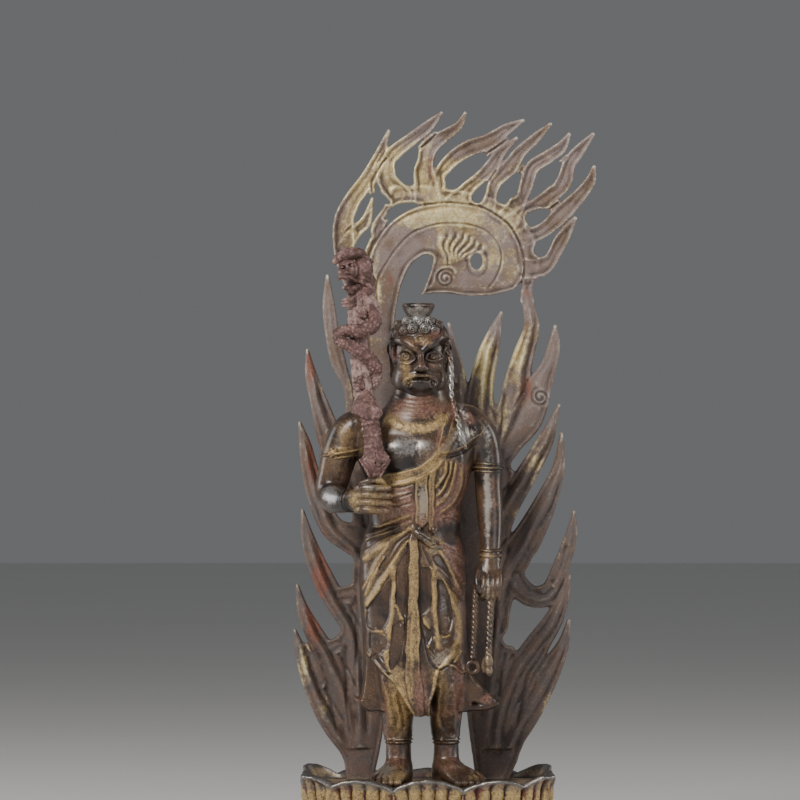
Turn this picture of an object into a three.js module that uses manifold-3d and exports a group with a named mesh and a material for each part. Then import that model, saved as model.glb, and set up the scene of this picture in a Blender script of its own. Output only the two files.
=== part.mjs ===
// Standing Acala: a small cast altar figure with its sword, flame halo and lotus plinth.
// Millimetres, +Z up. The origin is the middle of the plinth's underside, and the figure faces -Y.
import * as THREE from 'three';
import { mergeVertices } from 'three/addons/utils/BufferGeometryUtils.js';
import Module from 'manifold-3d';

const wasm = await Module();
wasm.setup();

// Driving dimensions. Heights inside the pieces are measured from the plinth's top plate.
const PLINTH_HEIGHT = 70;
const LOTUS_HEIGHT = 46;
const PLINTH_HALF_WIDTH = 96;
const PLINTH_HALF_DEPTH = 74;
const SEAT_GAP = 0.3;
const FIGURE_X = -9;
const FIGURE_Y = -10;
const HALO_Y = 48;
const HALO_LEAN = 0.02;
const HEAD_HEIGHT = 337;
const WAIST_HEIGHT = 196;
const HEM_HEIGHT = 58;
const FIST = new THREE.Vector3(-44, -50, 227);
const SWORD_TIP = new THREE.Vector3(-60, -36, 410);

// A closed skin of triangles becomes a solid whose faces point outwards.
function solidOf(positions, triangles) {
  let volume = 0;
  const corner = (i) => new THREE.Vector3().fromArray(positions, 3 * i);
  for (let t = 0; t < triangles.length; t += 3) {
    const [a, b, c] = [corner(triangles[t]), corner(triangles[t + 1]), corner(triangles[t + 2])];
    volume += a.dot(b.cross(c));
  }
  const outward = volume > 0 ? triangles : triangles.slice().reverse();
  const skin = new wasm.Mesh({
    numProp: 3,
    vertProperties: new Float32Array(positions),
    triVerts: new Uint32Array(outward),
  });
  return new wasm.Manifold(skin);
}

// A three.js geometry as a solid.
function solidOfGeometry(geometry) {
  const bare = geometry.index ? geometry.toNonIndexed() : geometry.clone();
  bare.deleteAttribute('normal');
  bare.deleteAttribute('uv');
  const merged = mergeVertices(bare, 1e-4);
  const triangles = [];
  for (let t = 0; t < merged.index.count; t += 3) {
    const [a, b, c] = [0, 1, 2].map((i) => merged.index.getX(t + i));
    if (a !== b && b !== c && a !== c) triangles.push(a, b, c);
  }
  return solidOf(Array.from(merged.attributes.position.array), triangles);
}

// Rings of points, one after another, closed at both ends by a fan about the ring's middle.
function loft(rings) {
  const sides = rings[0].length;
  const positions = [];
  const triangles = [];
  for (const ring of rings) {
    for (const point of ring) positions.push(point.x, point.y, point.z);
  }
  for (let r = 0; r + 1 < rings.length; r += 1) {
    for (let s = 0; s < sides; s += 1) {
      const here = r * sides + s;
      const next = r * sides + ((s + 1) % sides);
      triangles.push(here, next, next + sides, here, next + sides, here + sides);
    }
  }
  const close = (ring, first, flip) => {
    const middle = new THREE.Vector3();
    for (const point of ring) middle.addScaledVector(point, 1 / sides);
    const hub = positions.length / 3;
    positions.push(middle.x, middle.y, middle.z);
    for (let s = 0; s < sides; s += 1) {
      const [a, b] = [first + s, first + ((s + 1) % sides)];
      if (flip) triangles.push(hub, b, a);
      else triangles.push(hub, a, b);
    }
  };
  close(rings[0], 0, true);
  close(rings[rings.length - 1], (rings.length - 1) * sides, false);
  return solidOf(positions, triangles);
}

// Knots are rows of [x, y, z, half width, half depth]. The curve between them is smooth.
function along(knots, steps) {
  const path = new THREE.CatmullRomCurve3(
    knots.map((k) => new THREE.Vector3(k[0], k[1], k[2])), false, 'centripetal');
  const size = new THREE.CatmullRomCurve3(
    knots.map((k) => new THREE.Vector3(k[3], k[4] ?? k[3], 0)), false, 'centripetal');
  const rows = [];
  for (let i = 0; i <= steps; i += 1) {
    const t = i / steps;
    const at = path.getPoint(t);
    const spread = size.getPoint(t);
    rows.push({ at, tangent: path.getTangent(t), wide: spread.x, deep: spread.y, t });
  }
  return rows;
}

// A limb, fold or roll: an oval section carried along smooth knots. The section's depth lies
// as near as it can to the direction called face.
function roll(knots, { steps = 6, sides = 8, face = [0, -1, 0], turn = 0.5, shape = () => 1 } = {}) {
  const facing = new THREE.Vector3(...face);
  const rings = along(knots, steps).map(({ at, tangent, wide, deep, t }) => {
    const across = new THREE.Vector3().crossVectors(tangent, facing).normalize();
    const out = new THREE.Vector3().crossVectors(across, tangent).normalize();
    return Array.from({ length: sides }, (_, s) => {
      const angle = (2 * Math.PI * (s + turn)) / sides;
      const swell = shape(angle, t);
      return at.clone()
        .addScaledVector(across, Math.cos(angle) * wide * swell)
        .addScaledVector(out, Math.sin(angle) * deep * swell);
    });
  });
  return loft(rings);
}

// A low oval post: rows of [height, centre x, centre y, half width, half depth].
function post(levels, { sides = 16, shape = () => 1 } = {}) {
  const rings = levels.map(([z, x, y, wide, deep], level) => Array.from(
    { length: sides }, (_, s) => {
      const angle = (2 * Math.PI * s) / sides;
      const swell = shape(angle, z, level / (levels.length - 1));
      return new THREE.Vector3(
        x + Math.sin(angle) * wide * swell, y - Math.cos(angle) * deep * swell, z);
    }));
  return loft(rings);
}

function join(solids) {
  return solids.reduce((whole, piece) => whole.add(piece));
}

function bump(distance, width) {
  return Math.exp(-(distance * distance) / (width * width));
}

// Flame halo. Each tongue is a row of [x, height, half width] from its root to its tip.
const CREST_TONGUES = [
  [[-40, 372, 7], [-57, 395, 8], [-66, 421, 8], [-67, 447, 7.5], [-59, 465, 6.5], [-48, 480, 6],
    [-39, 497, 4.8], [-31, 519, 1.2]],
  [[-66, 424, 6], [-59, 436, 5], [-50, 446, 4.2], [-44, 465, 1.2]],
  [[-44, 421, 6], [-38, 445, 4.8], [-31, 456, 4.2], [-24, 468, 6]],
  [[-22, 466, 9], [-33, 482, 7.5], [-28, 499, 6], [-13, 512, 5], [1, 523, 4.2], [11, 533, 1.3]],
  [[0, 465, 10], [-3, 490, 7.5], [2, 506, 6.5], [15, 516, 4.6], [25, 523, 3.2], [30, 533, 1.3]],
  [[6, 468, 6], [14, 490, 5.5], [31, 504, 6.3], [48, 510, 6], [63, 520, 4.4], [76, 527, 1.5]],
  [[20, 458, 8], [39, 479, 5.6], [50, 489, 5.4], [58, 501, 4.2], [71, 513, 1.4]],
  [[44, 452, 8], [53, 477, 5.4], [66, 490, 6], [74, 502, 4.8], [86, 513, 4], [98, 524, 1.5]],
  [[62, 444, 8], [78, 474, 5.6], [84, 490, 5.4], [96, 498, 5.2], [107, 506, 4.4], [113, 516, 1.5]],
  [[62, 440, 8], [94, 464, 6], [108, 477, 6.2], [113, 492, 5.2], [120, 502, 4.8], [132, 516, 1.5]],
  [[72, 432, 7], [93, 440, 5.6], [107, 453, 6.6], [121, 467, 5.4], [130, 479, 4], [133, 490, 1.5]],
  [[70, 409, 8], [91, 410, 7], [102, 424, 6], [110, 437, 4.6], [118, 449, 1.4]],
];
const SIDE_TONGUES = [
  [[-54, 250, 9], [-61, 284, 5], [-63, 312, 3.6], [-71, 334, 5.8], [-76, 357, 5.6],
    [-79, 381, 4.6], [-80, 403, 1.3]],
  [[-62, 240, 14], [-77, 272, 10], [-86, 300, 7], [-93, 324, 4.6], [-96, 344, 1.2]],
  [[-58, 192, 12], [-76, 202, 9], [-88, 228, 8], [-94, 249, 6.4], [-98, 269, 4.6], [-102, 286, 1.2]],
  [[-54, 70, 11], [-62, 112, 10], [-74, 142, 9], [-88, 172, 7.4], [-96, 195, 5], [-100, 216, 1.2]],
  [[-56, 30, 10], [-67, 67, 11], [-80, 98, 8.6], [-93, 122, 6.6], [-100, 138, 4.4], [-104, 156, 1.2]],
  [[-62, 24, 7], [-78, 47, 8], [-92, 76, 7], [-101, 102, 4.8], [-106, 120, 1.2]],
  [[24, 290, 6], [26, 318, 5], [22, 342, 3.2], [17, 365, 1.1]],
  [[50, 262, 16], [42, 301, 11], [44, 322, 9.2], [49, 343, 7.6], [54, 359, 5], [59, 374, 1.2]],
  [[58, 268, 14], [68, 300, 11], [72, 321, 9.6], [77, 341, 8], [83, 361, 6.2], [81, 378, 4.6],
    [79, 390, 4]],
  [[60, 268, 12], [80, 290, 12], [89, 314, 9.6], [97, 332, 6.2], [101, 348, 4.8], [102, 363, 1.3]],
  [[50, 190, 12], [62, 216, 9.6], [78, 243, 8.2], [94, 271, 6.2], [105, 300, 1.2]],
  [[48, 120, 14], [58, 160, 14], [80, 194, 11.5], [96, 226, 8.2], [105, 251, 4.8], [107, 277, 1.3]],
  [[62, 168, 9], [83, 147, 8.4], [98, 150, 8.6], [107, 172, 6.4], [115, 196, 4.8], [117, 215, 1.3]],
  [[58, 52, 11], [72, 84, 10.5], [86, 106, 9.6], [101, 129, 7.2], [109, 147, 4.6], [113, 163, 1.3]],
  [[60, 26, 10], [74, 44, 10], [88, 68, 9.6], [101, 93, 7.6], [109, 110, 4.6], [113, 128, 1.3]],
];
const BODY_MASSES = [
  [[-54, 0, 10], [-53, 28, 15], [-52, 70, 19], [-46, 130, 17], [-40, 190, 18], [-38, 250, 24],
    [-36, 300, 18], [-36, 350, 14]],
  [[51, 0, 12.5], [55, 30, 20], [52, 80, 22], [44, 130, 18], [40, 190, 22], [42, 250, 24],
    [40, 290, 14]],
  [[0, 122, 30], [2, 180, 44], [2, 240, 46], [2, 292, 34]],
];
const MANE = [[-34, 466, 4], [-14, 466, 8.5], [13, 464, 8.5], [38, 459, 8.5], [59, 450, 9],
  [73, 434, 9], [80, 414, 9], [80, 398, 4]];
const SCROLLS = [[90, 306, 8], [20, 398, 7]];
const TONGUE_THIN = 1.3;
const TONGUE_SWELL = 0.36;
const TONGUE_MOST = 5;
const TONGUE_FULLNESS = 1.12;

function plateY(height) {
  return HALO_Y - HALO_LEAN * height;
}

// Neighbouring tongues lie a little in front of and behind one another, so each keeps its edge.
function tongue(row, order, spared = 2) {
  const ahead = order % 2 === 0 ? 0.7 : -0.5;
  const knots = row.map(([x, z, wide]) => {
    const deep = Math.min(TONGUE_MOST, TONGUE_THIN + TONGUE_SWELL * wide);
    return [x, plateY(z) - ahead, z + SEAT_GAP, wide * TONGUE_FULLNESS, deep];
  });
  return roll(knots, { steps: Math.max(3, row.length - spared), sides: 4, turn: 0 });
}

// The great curl over the head: a band that climbs behind it and rolls in to a beaked tip.
function curl() {
  const outline = new THREE.Shape();
  outline.moveTo(-46, 300);
  outline.bezierCurveTo(-48, 345, -58, 385, -48, 412);
  outline.bezierCurveTo(-40, 440, -18, 462, 22, 461);
  outline.bezierCurveTo(62, 458, 78, 430, 76, 406);
  outline.bezierCurveTo(74, 392, 58, 387, 33, 387);
  outline.quadraticCurveTo(12, 390, -5, 388);
  outline.quadraticCurveTo(-1, 398, 3, 409);
  outline.quadraticCurveTo(5, 419, 0, 420);
  outline.bezierCurveTo(-16, 416, -25, 396, -26, 360);
  outline.lineTo(-28, 300);
  outline.closePath();
  const eye = new THREE.Path();
  eye.absellipse(39, 415, 4.4, 6, 0, 2 * Math.PI, false);
  outline.holes.push(eye);
  const slab = new THREE.ExtrudeGeometry(outline, {
    depth: 8, curveSegments: 4, bevelEnabled: false,
  });
  slab.rotateX(Math.PI / 2);
  slab.translate(0, plateY(400) + 4, SEAT_GAP);
  return solidOfGeometry(slab);
}

// Raised rim that follows the outside of the curl.
function curlRim() {
  const front = (z) => plateY(z) - 4.2;
  const rim = [[-37, 356], [-40, 394], [-26, 430], [4, 448], [40, 445], [63, 424], [63, 402],
    [46, 394]];
  return roll(rim.map(([x, z]) => [x, front(z), z, 2.4, 1.6]), { steps: 8, sides: 4 });
}

function scroll([x, z, radius]) {
  const turns = 1.6;
  const count = 5;
  const knots = Array.from({ length: count * 2 }, (_, i) => {
    const t = i / (count * 2 - 1);
    const angle = Math.PI * 0.5 + turns * 2 * Math.PI * t;
    const reach = radius * (1 - 0.82 * t);
    return [x + Math.cos(angle) * reach, plateY(z) - 4, z + Math.sin(angle) * reach, 1.7, 1.8];
  });
  const boss = roll([
    [x, plateY(z) + 2, z, radius, radius], [x, plateY(z) - 4.2, z, radius * 0.9, radius * 0.9],
  ], { steps: 1, sides: 7, face: [0, 0, 1] });
  return join([boss, roll(knots, { steps: 7, sides: 4 })]);
}

function flameHalo() {
  const masses = BODY_MASSES.map((row, order) => tongue(row, order + 1));
  const sides = SIDE_TONGUES.map((row, order) => tongue(row, order, 3));
  const crest = [...CREST_TONGUES, MANE].map((row, order) => tongue(row, order));
  const link = roll([[79, plateY(388), 386, 3, 2.4], [80, plateY(400), 402, 4, 3]],
    { steps: 1, sides: 6 });
  const whole = join([...masses, ...sides, ...crest, curl(), curlRim(), link, ...SCROLLS.map(scroll)]);
  const room = new THREE.BoxGeometry(400, 80, 60);
  room.translate(0, HALO_Y, SEAT_GAP - 30);
  return whole.subtract(solidOfGeometry(room));
}

// Head: an egg with the fierce face pushed out of its front.
const EYE_SPREAD = 11;
const EYE_RISE = 2.4;

function facePush(x, z) {
  const side = Math.abs(x);
  const browLine = 7.2 + 0.42 * side - 0.012 * side * side;
  const nose = 4.6 * bump(x, 3.6) * bump(z + 6, 7) + 2.2 * bump(side - 4.4, 2.2) * bump(z + 9.5, 2.6);
  const brow = 2.4 * bump(z - browLine, 2.2) * bump(side - 8, 9);
  const eye = 1.6 * bump(side - EYE_SPREAD, 3.6) * bump(z - EYE_RISE, 2.6);
  const socket = -2.2 * bump(side - EYE_SPREAD + 3, 7) * bump(z - 1, 4.6);
  const cheek = 1.6 * bump(side - 12, 5) * bump(z + 9, 6);
  const lip = 1.8 * bump(z + 14 + 0.012 * side * side, 1.8) * bump(x, 9);
  const ring = 1.6 * bump(side - 9.5, 2.6) * bump(z + 20, 2.8);
  const chin = 1.6 * bump(x, 8) * bump(z + 25, 4.5);
  return nose + brow + eye + socket + cheek + lip + ring + chin;
}

function head() {
  const centre = new THREE.Vector3(FIGURE_X + 2, FIGURE_Y + 2, HEAD_HEIGHT);
  const [wide, deep, tall] = [21, 23.5, 30.5];
  const rings = [];
  const levels = 10;
  const sides = 18;
  for (let level = 1; level < levels; level += 1) {
    const polar = (Math.PI * level) / levels;
    const z = -Math.cos(polar) * tall;
    const jaw = 1 - 0.1 * bump(z + 24, 9);
    rings.push(Array.from({ length: sides }, (_, s) => {
      const even = (2 * Math.PI * s) / sides;
      const turn = even - 0.55 * Math.sin(even);
      const front = Math.max(0, Math.cos(turn));
      const ring = Math.pow(Math.sin(polar), 0.82);
      const x = Math.sin(turn) * ring * wide * jaw;
      const y = -Math.cos(turn) * ring * deep;
      const push = facePush(x, z) * Math.min(1, 1.6 * front);
      return new THREE.Vector3(centre.x + x, centre.y + y - push, centre.z + z);
    }));
  }
  return loft(rings);
}

// Two rows of snail curls over the forehead, the combed cap and the bound topknot cup.
function hair() {
  const [cx, cy] = [FIGURE_X + 2, FIGURE_Y + 2];
  const cap = post([
    [349, cx, cy + 5, 20, 21], [353, cx, cy + 3, 22.4, 24], [361, cx, cy + 1, 21, 22.6],
    [367, cx, cy, 16, 18], [371, cx, cy, 9.5, 11],
  ], { sides: 10 });
  const rows = [
    { count: 7, height: 352, wide: 20.5, deep: 22, size: 5 },
    { count: 3, height: 361, wide: 14.5, deep: 18, size: 5.4 },
  ];
  const curls = rows.flatMap(({ count, height, wide, deep, size }) => Array.from(
    { length: count }, (_, i) => {
      const turn = ((i - (count - 1) / 2) / (count - 1)) * 2.9;
      const ball = new THREE.IcosahedronGeometry(size, 0);
      const droop = height - 3 * Math.sin(turn) ** 2;
      ball.translate(cx + Math.sin(turn) * wide, cy - Math.cos(turn) * deep, droop);
      return solidOfGeometry(ball);
    }));
  const cup = post([
    [364, cx - 1, cy, 11, 11], [370, cx - 1, cy, 8.4, 8.4], [375, cx - 1, cy, 9.6, 9.6],
    [378, cx - 1, cy, 12.2, 12], [380.5, cx - 1, cy, 12.2, 12], [381, cx - 1, cy, 9.5, 9.5],
    [378.5, cx - 1, cy, 5, 5],
  ], { sides: 9 });
  return join([cap, ...curls, cup]);
}

function ear(side) {
  const x = FIGURE_X + 2 + side * 22.6;
  return roll([
    [x, FIGURE_Y + 3, 350, 2, 2], [x + side * 1.6, FIGURE_Y + 3, 344, 4.2, 3],
    [x + side * 0.8, FIGURE_Y + 2, 334, 3.6, 2.4], [x, FIGURE_Y + 1, 324, 3.2, 2.6],
    [x - side, FIGURE_Y, 315, 1.6, 1.4],
  ], { steps: 4, sides: 5, face: [side, 0, 0] });
}

// The single plait falls from the figure's left temple to the breast.
function plait() {
  const knots = [[15, -12, 346, 3], [19, -16, 330, 3.2], [20, -22, 306, 3.4], [23, -33, 292, 3.4],
    [27, -38, 278, 3], [30, -40, 266, 1.4]];
  const links = (angle, t) => 1 + 0.2 * Math.cos(2 * Math.PI * 5 * t);
  return roll(knots.map(([x, y, z, r]) => [x, y, z, r, r]), { steps: 10, sides: 4, shape: links });
}

// Trunk with three neck folds, collar band, shoulder cloth, sash and its hanging end.
function trunk() {
  const [cx, cy] = [FIGURE_X, FIGURE_Y];
  return post([
    [WAIST_HEIGHT - 16, cx - 1, cy, 36, 25], [222, cx - 1, cy, 38, 27.5], [240, cx, cy, 42, 29.5],
    [256, cx, cy, 47, 31],
    [270, cx, cy, 51, 30], [282, cx, cy, 50, 26], [291, cx, cy, 37, 21.5], [294, cx + 1, cy, 32, 21.5],
    [296, cx + 1, cy, 27, 19.5], [299, cx + 1, cy, 28, 20.5], [301, cx + 1, cy, 23.6, 18.6],
    [304, cx + 1, cy, 24, 19], [306, cx + 2, cy + 1, 19.6, 17.6], [316, cx + 2, cy + 2, 17, 16],
  ], { sides: 12 });
}

// The trunk's front surface, where bands and cloth edges lie on it.
function chestY(x, z) {
  const swell = 30 - 0.0075 * (z - 258) ** 2;
  const side = Math.min(0.98, Math.abs(x - FIGURE_X) / 50);
  return FIGURE_Y - Math.max(16, swell) * Math.sqrt(1 - side * side);
}

function band(points, wide, deep) {
  const knots = points.map(([x, z, out = 0]) => [x, chestY(x, z) - out, z, wide, deep]);
  return roll(knots, { steps: 4, sides: 4 });
}

function dress() {
  const collar = band([[-46, 284], [-34, 274], [-10, 266], [14, 273], [26, 284]], 7, 2.8);
  const shawlOver = band([[22, 296, 2], [34, 290, 2], [44, 278, 2], [46, 268, 1]], 9, 4);
  const shawlHem = band([[47, 284, 3], [38, 272, 3], [24, 263, 4], [8, 259, 3]], 2.6, 3.4);
  const sash = band([[-24, 241, 1], [-4, 246, 2], [9, 256, 3], [20, 262, 3]], 5, 3);
  const sashEnd = roll([
    [3, -42, 245, 6, 2.6], [2, -43, 225, 6.6, 2.6], [3, -42, 203, 6.8, 2.4],
  ], { steps: 2, sides: 4 });
  const leaf = band([[10, 222, 2], [20, 240, 2], [17, 256, 2]], 4, 2.6);
  return join([collar, shawlOver, shawlHem, sash, sashEnd, leaf]);
}

// Skirt: folds fan out from the knot at the waist and flare at the hem.
const PLEATS = 9;

function skirt() {
  const folds = (angle, z, level) => {
    const low = 1 - level;
    const fan = Math.cos(PLEATS * angle + 1.4 * low * Math.sin(angle));
    const middle = bump(Math.atan2(Math.sin(angle), Math.cos(angle)), 0.14);
    return 1 + (0.018 + 0.03 * low) * fan + 0.05 * low * middle;
  };
  const cloth = post([
    [HEM_HEIGHT, -4, -9, 51, 34], [HEM_HEIGHT + 6, -4, -9, 54, 36], [80, -6, -9, 46, 34],
    [112, -10, -10, 42.5, 32.5], [160, -12, -10, 43, 31.5], [190, -12, -10, 41, 28],
    [206, -11, -10, 36, 23],
  ], { sides: 26, shape: folds });
  const overlays = [
    [[-48, -30, 192, 4, 2.4], [-30, -38, 204, 4.4, 2.6], [-10, -39, 209, 4.4, 3],
      [6, -38, 201, 4.4, 3], [20, -34, 188, 4, 2.6], [29, -27, 178, 3, 2.2]],
    [[-9, -41, 206, 4, 2.8], [-12, -45, 165, 5, 2.8], [-13, -47, 120, 6, 2.6], [-11, -49, 84, 9, 2.4],
      [-11, -47, 60, 11, 2.2]],
    [[-1, -40, 192, 2, 2.4], [4, -43, 160, 9, 2.6], [9, -44, 120, 10, 2.6], [10, -44, 96, 3, 2]],
  ].map((knots) => roll(knots, { steps: 4, sides: 4 }));
  const knot = roll([[-8, -40, 206, 4, 4], [-3, -44, 200, 5, 4.4], [3, -42, 190, 4.6, 3.6],
    [6, -40, 183, 2, 2]], { steps: 3, sides: 5 });
  return join([cloth, ...overlays, knot]);
}

// A worn ring, such as an armlet: how much it swells the limb at this share of its length.
function worn(share, half, swell) {
  return (angle, t) => 1 + (Math.abs(t - share) < half ? swell : 0);
}

// Fingers or toes side by side: a low roll across them with one bulge for each.
function digits(from, to, count, radius, steps) {
  const bulges = (angle, t) => 0.72 + 0.28 * Math.abs(Math.sin(Math.PI * count * t));
  return roll([[...from, radius, radius], [...to, radius, radius]],
    { steps, sides: 4, face: [0, -1, 0.2], shape: bulges });
}

// The right arm bends forward to the fist, and the left hangs with the lasso.
function rightArm() {
  const upper = roll([
    [-48, -8, 290, 9, 12], [-62, -9, 280, 14, 15], [-69, -9, 262, 14.5, 15], [-74, -8, 244, 13, 14],
    [-77, -10, 230, 12, 12.5], [-74, -16, 223, 8, 9],
  ], { steps: 7, sides: 6, shape: worn(0.39, 0.1, 0.12) });
  const fore = roll([
    [-77, -8, 229, 9, 9], [-74, -20, 227, 11.5, 11], [-68, -32, 225, 10.5, 10], [-61, -43, 225, 8.6, 8.4],
    [-50, -49, 226, 10, 9.6], [-38, -48, 228, 9.6, 9], [-33, -44, 228, 6, 6],
  ], { steps: 6, sides: 6, face: [0, 0, 1], shape: worn(0.5, 0.1, 0.2) });
  const grasp = digits([-42, -57, 216], [-42, -57, 238], 4, 4.4, 8);
  const thumb = roll([[-36, -50, 238, 3, 3], [-44, -57, 239, 3.2, 3], [-51, -55, 237, 2.4, 2.4]],
    { steps: 2, sides: 5 });
  return join([upper, fore, grasp, thumb]);
}

function leftArm() {
  const arm = roll([
    [30, -8, 286, 9, 12], [42, -8, 276, 13, 15], [47, -8, 258, 12.4, 14], [48, -8, 236, 10.6, 12],
    [49, -9, 214, 10.4, 11], [49.5, -12, 196, 9.2, 9.2], [49, -16, 178, 8.6, 7.6],
    [46, -20, 162, 11.6, 7.6], [45, -22, 151, 8, 6],
  ], { steps: 11, sides: 6, shape: (angle, t) => worn(0.25, 0.06, 0.12)(angle, t)
    * worn(0.715, 0.04, 0.16)(angle, t) });
  const grasp = digits([36, -28, 156], [57, -26, 158], 4, 5.6, 8);
  const thumb = roll([[39, -23, 172, 3, 3], [40, -31, 160, 3.2, 3], [44, -33, 150, 2.2, 2.2]],
    { steps: 2, sides: 5 });
  return join([arm, grasp, thumb]);
}

// The lasso hangs from the left hand as two twisted strands, with a ring and a weight at the ends.
function lasso() {
  const twist = (angle, t) => 1 + 0.22 * Math.cos(2 * angle - 2 * Math.PI * 3 * t);
  const options = { steps: 8, sides: 4, shape: twist };
  const near = roll([[36, -27, 158, 2.8, 2.8], [36, -29, 140, 3, 3], [34, -29, 118, 3, 3],
    [33.4, -29, 100, 2.8, 2.8]], options);
  const far = roll([[50, -25, 158, 2.8, 2.8], [50, -28, 140, 3, 3], [47, -29, 118, 3, 3],
    [46, -29, 100, 2.8, 2.8]], options);
  const hoop = new THREE.TorusGeometry(4.6, 2, 4, 8);
  hoop.rotateX(Math.PI / 2);
  hoop.translate(34, -29, 95);
  const weight = roll([[46, -29, 103, 3.6, 3.6], [46.6, -29, 95, 4, 4], [47, -29, 88, 1.4, 1.4]],
    { steps: 2, sides: 5 });
  return join([near, far, solidOfGeometry(hoop), weight]);
}

function leg(side) {
  const x = side < 0 ? -23 : 14.5;
  const toeX = side < 0 ? -35 : 35;
  const lean = (toeX - x) / 34;
  const shin = roll([[x, -8, 100, 16, 15], [x, -9, 72, 15, 14.5], [x, -8, 50, 13.6, 13],
    [x, -6, 36, 11, 11.5], [x, -6, 22, 11.6, 12.5], [x, -6, SEAT_GAP, 12, 15]],
  { steps: 6, sides: 6, shape: worn(0.57, 0.09, 0.14) });
  const foot = roll([[x, 6, 7, 11, 7], [x + lean * 4, -10, 11, 12.5, 11],
    [x + lean * 16, -24, 8.6, 13, 8.4], [x + lean * 28, -38, 6, 13.4, 5.8],
    [x + lean * 32, -44, 5, 12, 4.4]],
  { steps: 3, sides: 6, face: [0, 0, 1] });
  const toes = digits([toeX - side * 12, -48, 5], [toeX + side * 12, -44, 5], 5, 4.6, 10);
  const ground = new THREE.BoxGeometry(90, 140, 30);
  ground.translate(x, -10, SEAT_GAP - 15);
  return join([shin, foot, toes]).subtract(solidOfGeometry(ground));
}

function figure(sword) {
  const whole = join([head(), hair(), ear(-1), ear(1), plait(), trunk(), dress(), skirt(), rightArm(),
    leftArm(), lasso(), leg(-1), leg(1)]);
  return whole.subtract(sword);
}

// Sword with a dragon coiled about the blade. Grown leaves the clearance of its seat in the fist.
function onSword(t, side = 0, ahead = 0) {
  const at = FIST.clone().lerp(SWORD_TIP, t);
  return [at.x + side, at.y - ahead, at.z];
}

function swordTang(grown) {
  return roll([[...onSword(-0.06, 2), 2 + grown, 2 + grown],
    [...onSword(0.06, 2), 2.6 + grown, 2.6 + grown], [...onSword(0.15, 2), 6 + grown, 4 + grown]],
  { steps: 2, sides: 5 });
}

function dragonSword() {
  const blade = roll([[...onSword(0.36), 7.6, 2.6], [...onSword(0.7), 7, 2.4], [...onSword(0.92), 5, 2]],
    { steps: 5, sides: 4 });
  const grip = roll([[...onSword(0.12, 1), 7, 6], [...onSword(0.17, 1.4), 12, 7],
    [...onSword(0.22, 1), 7, 6], [...onSword(0.3, 1), 7.4, 6.4], [...onSword(0.36), 8, 7]],
  { steps: 5, sides: 5 });
  const guard = roll([[...onSword(0.4, -13, 1), 1.6, 2], [...onSword(0.35, -8, 2), 4, 4],
    [...onSword(0.345, 2, 2), 5.4, 5], [...onSword(0.33, 11, 2), 4, 4], [...onSword(0.35, 15, 1), 1.6, 2]],
  { steps: 4, sides: 5 });
  const turns = 2.25;
  const lastKnot = 14;
  const coil = Array.from({ length: lastKnot + 1 }, (_, i) => {
    const t = i / lastKnot;
    const angle = -0.4 * Math.PI + turns * 2 * Math.PI * t;
    const reach = 11.5 - 2 * t;
    const [x, y, z] = onSword(0.4 + 0.48 * t);
    const thick = 3 + 2.2 * Math.sin(Math.PI * Math.min(1, 0.25 + t));
    return [x + Math.cos(angle) * reach, y - Math.sin(angle) * reach * 0.75, z, thick, thick];
  });
  const body = roll(coil, { steps: 17, sides: 4, face: [0.1, -0.2, 1] });
  const [hx, hy, hz] = onSword(1);
  const skull = roll([[hx + 10, hy + 4, hz - 14, 5, 5], [hx + 9, hy + 2, hz - 2, 7, 8],
    [hx + 2, hy - 4, hz + 4, 9, 9.6], [hx - 6, hy - 12, hz, 7, 7.6], [hx - 10, hy - 17, hz - 3, 5, 5]],
  { steps: 4, sides: 6 });
  const jaw = roll([[hx + 3, hy - 3, hz - 8, 5, 4], [hx - 8, hy - 14, hz - 11, 4, 2.6]],
    { steps: 1, sides: 6 });
  const crown = roll([[hx - 9, hy - 8, hz + 8, 3, 2.4], [hx, hy - 2, hz + 12, 6, 3],
    [hx + 11, hy + 4, hz + 9, 3, 2.4]], { steps: 2, sides: 5 });
  const neck = roll([[...coil[lastKnot].slice(0, 3), 5, 5], [hx + 12, hy + 5, hz - 22, 5.4, 5.4],
    [hx + 10, hy + 3, hz - 8, 6, 6]], { steps: 2, sides: 5 });
  const claws = [[-5, 0.83], [-9, 0.71], [9, 0.55]].map(([side, t]) => roll([
    [...onSword(t, side * 0.3, 0), 3, 3], [...onSword(t + 0.02, side, 6), 2.8, 2.6],
    [...onSword(t - 0.03, side * 1.2, 8), 1, 1]], { steps: 2, sides: 5 }));
  return join([swordTang(0), grip, guard, blade, body, neck, skull, jaw, crown, ...claws]);
}

// Lotus plinth: near-rectangular in plan, flaring petals with fat ribs over a low stepped base.
const CORNER_POWER = 8;
const PETAL_PITCH = 54;
const RIBS_PER_PETAL = 3;

function planPoint(angle, wide, deep) {
  const [s, c] = [Math.sin(angle), Math.cos(angle)];
  const grow = (Math.abs(s) ** CORNER_POWER + Math.abs(c) ** CORNER_POWER) ** (-1 / CORNER_POWER);
  return [s * grow * wide, -c * grow * deep];
}

// How far a point of the rim stands between valley (0) and petal tip (1), and its corner lift.
function petalWave(angle) {
  const [x, y] = planPoint(angle, 1, 1).map(Math.abs);
  const corner = THREE.MathUtils.smoothstep(Math.min(x, y), 0.62, 0.9);
  const [u, v] = planPoint(angle, PLINTH_HALF_WIDTH, PLINTH_HALF_DEPTH);
  const run = y > x ? u : v;
  const wave = Math.abs(Math.cos((Math.PI * run) / PETAL_PITCH)) ** 0.8;
  return { wave: Math.max(wave * (1 - corner), corner), corner, run };
}

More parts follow.
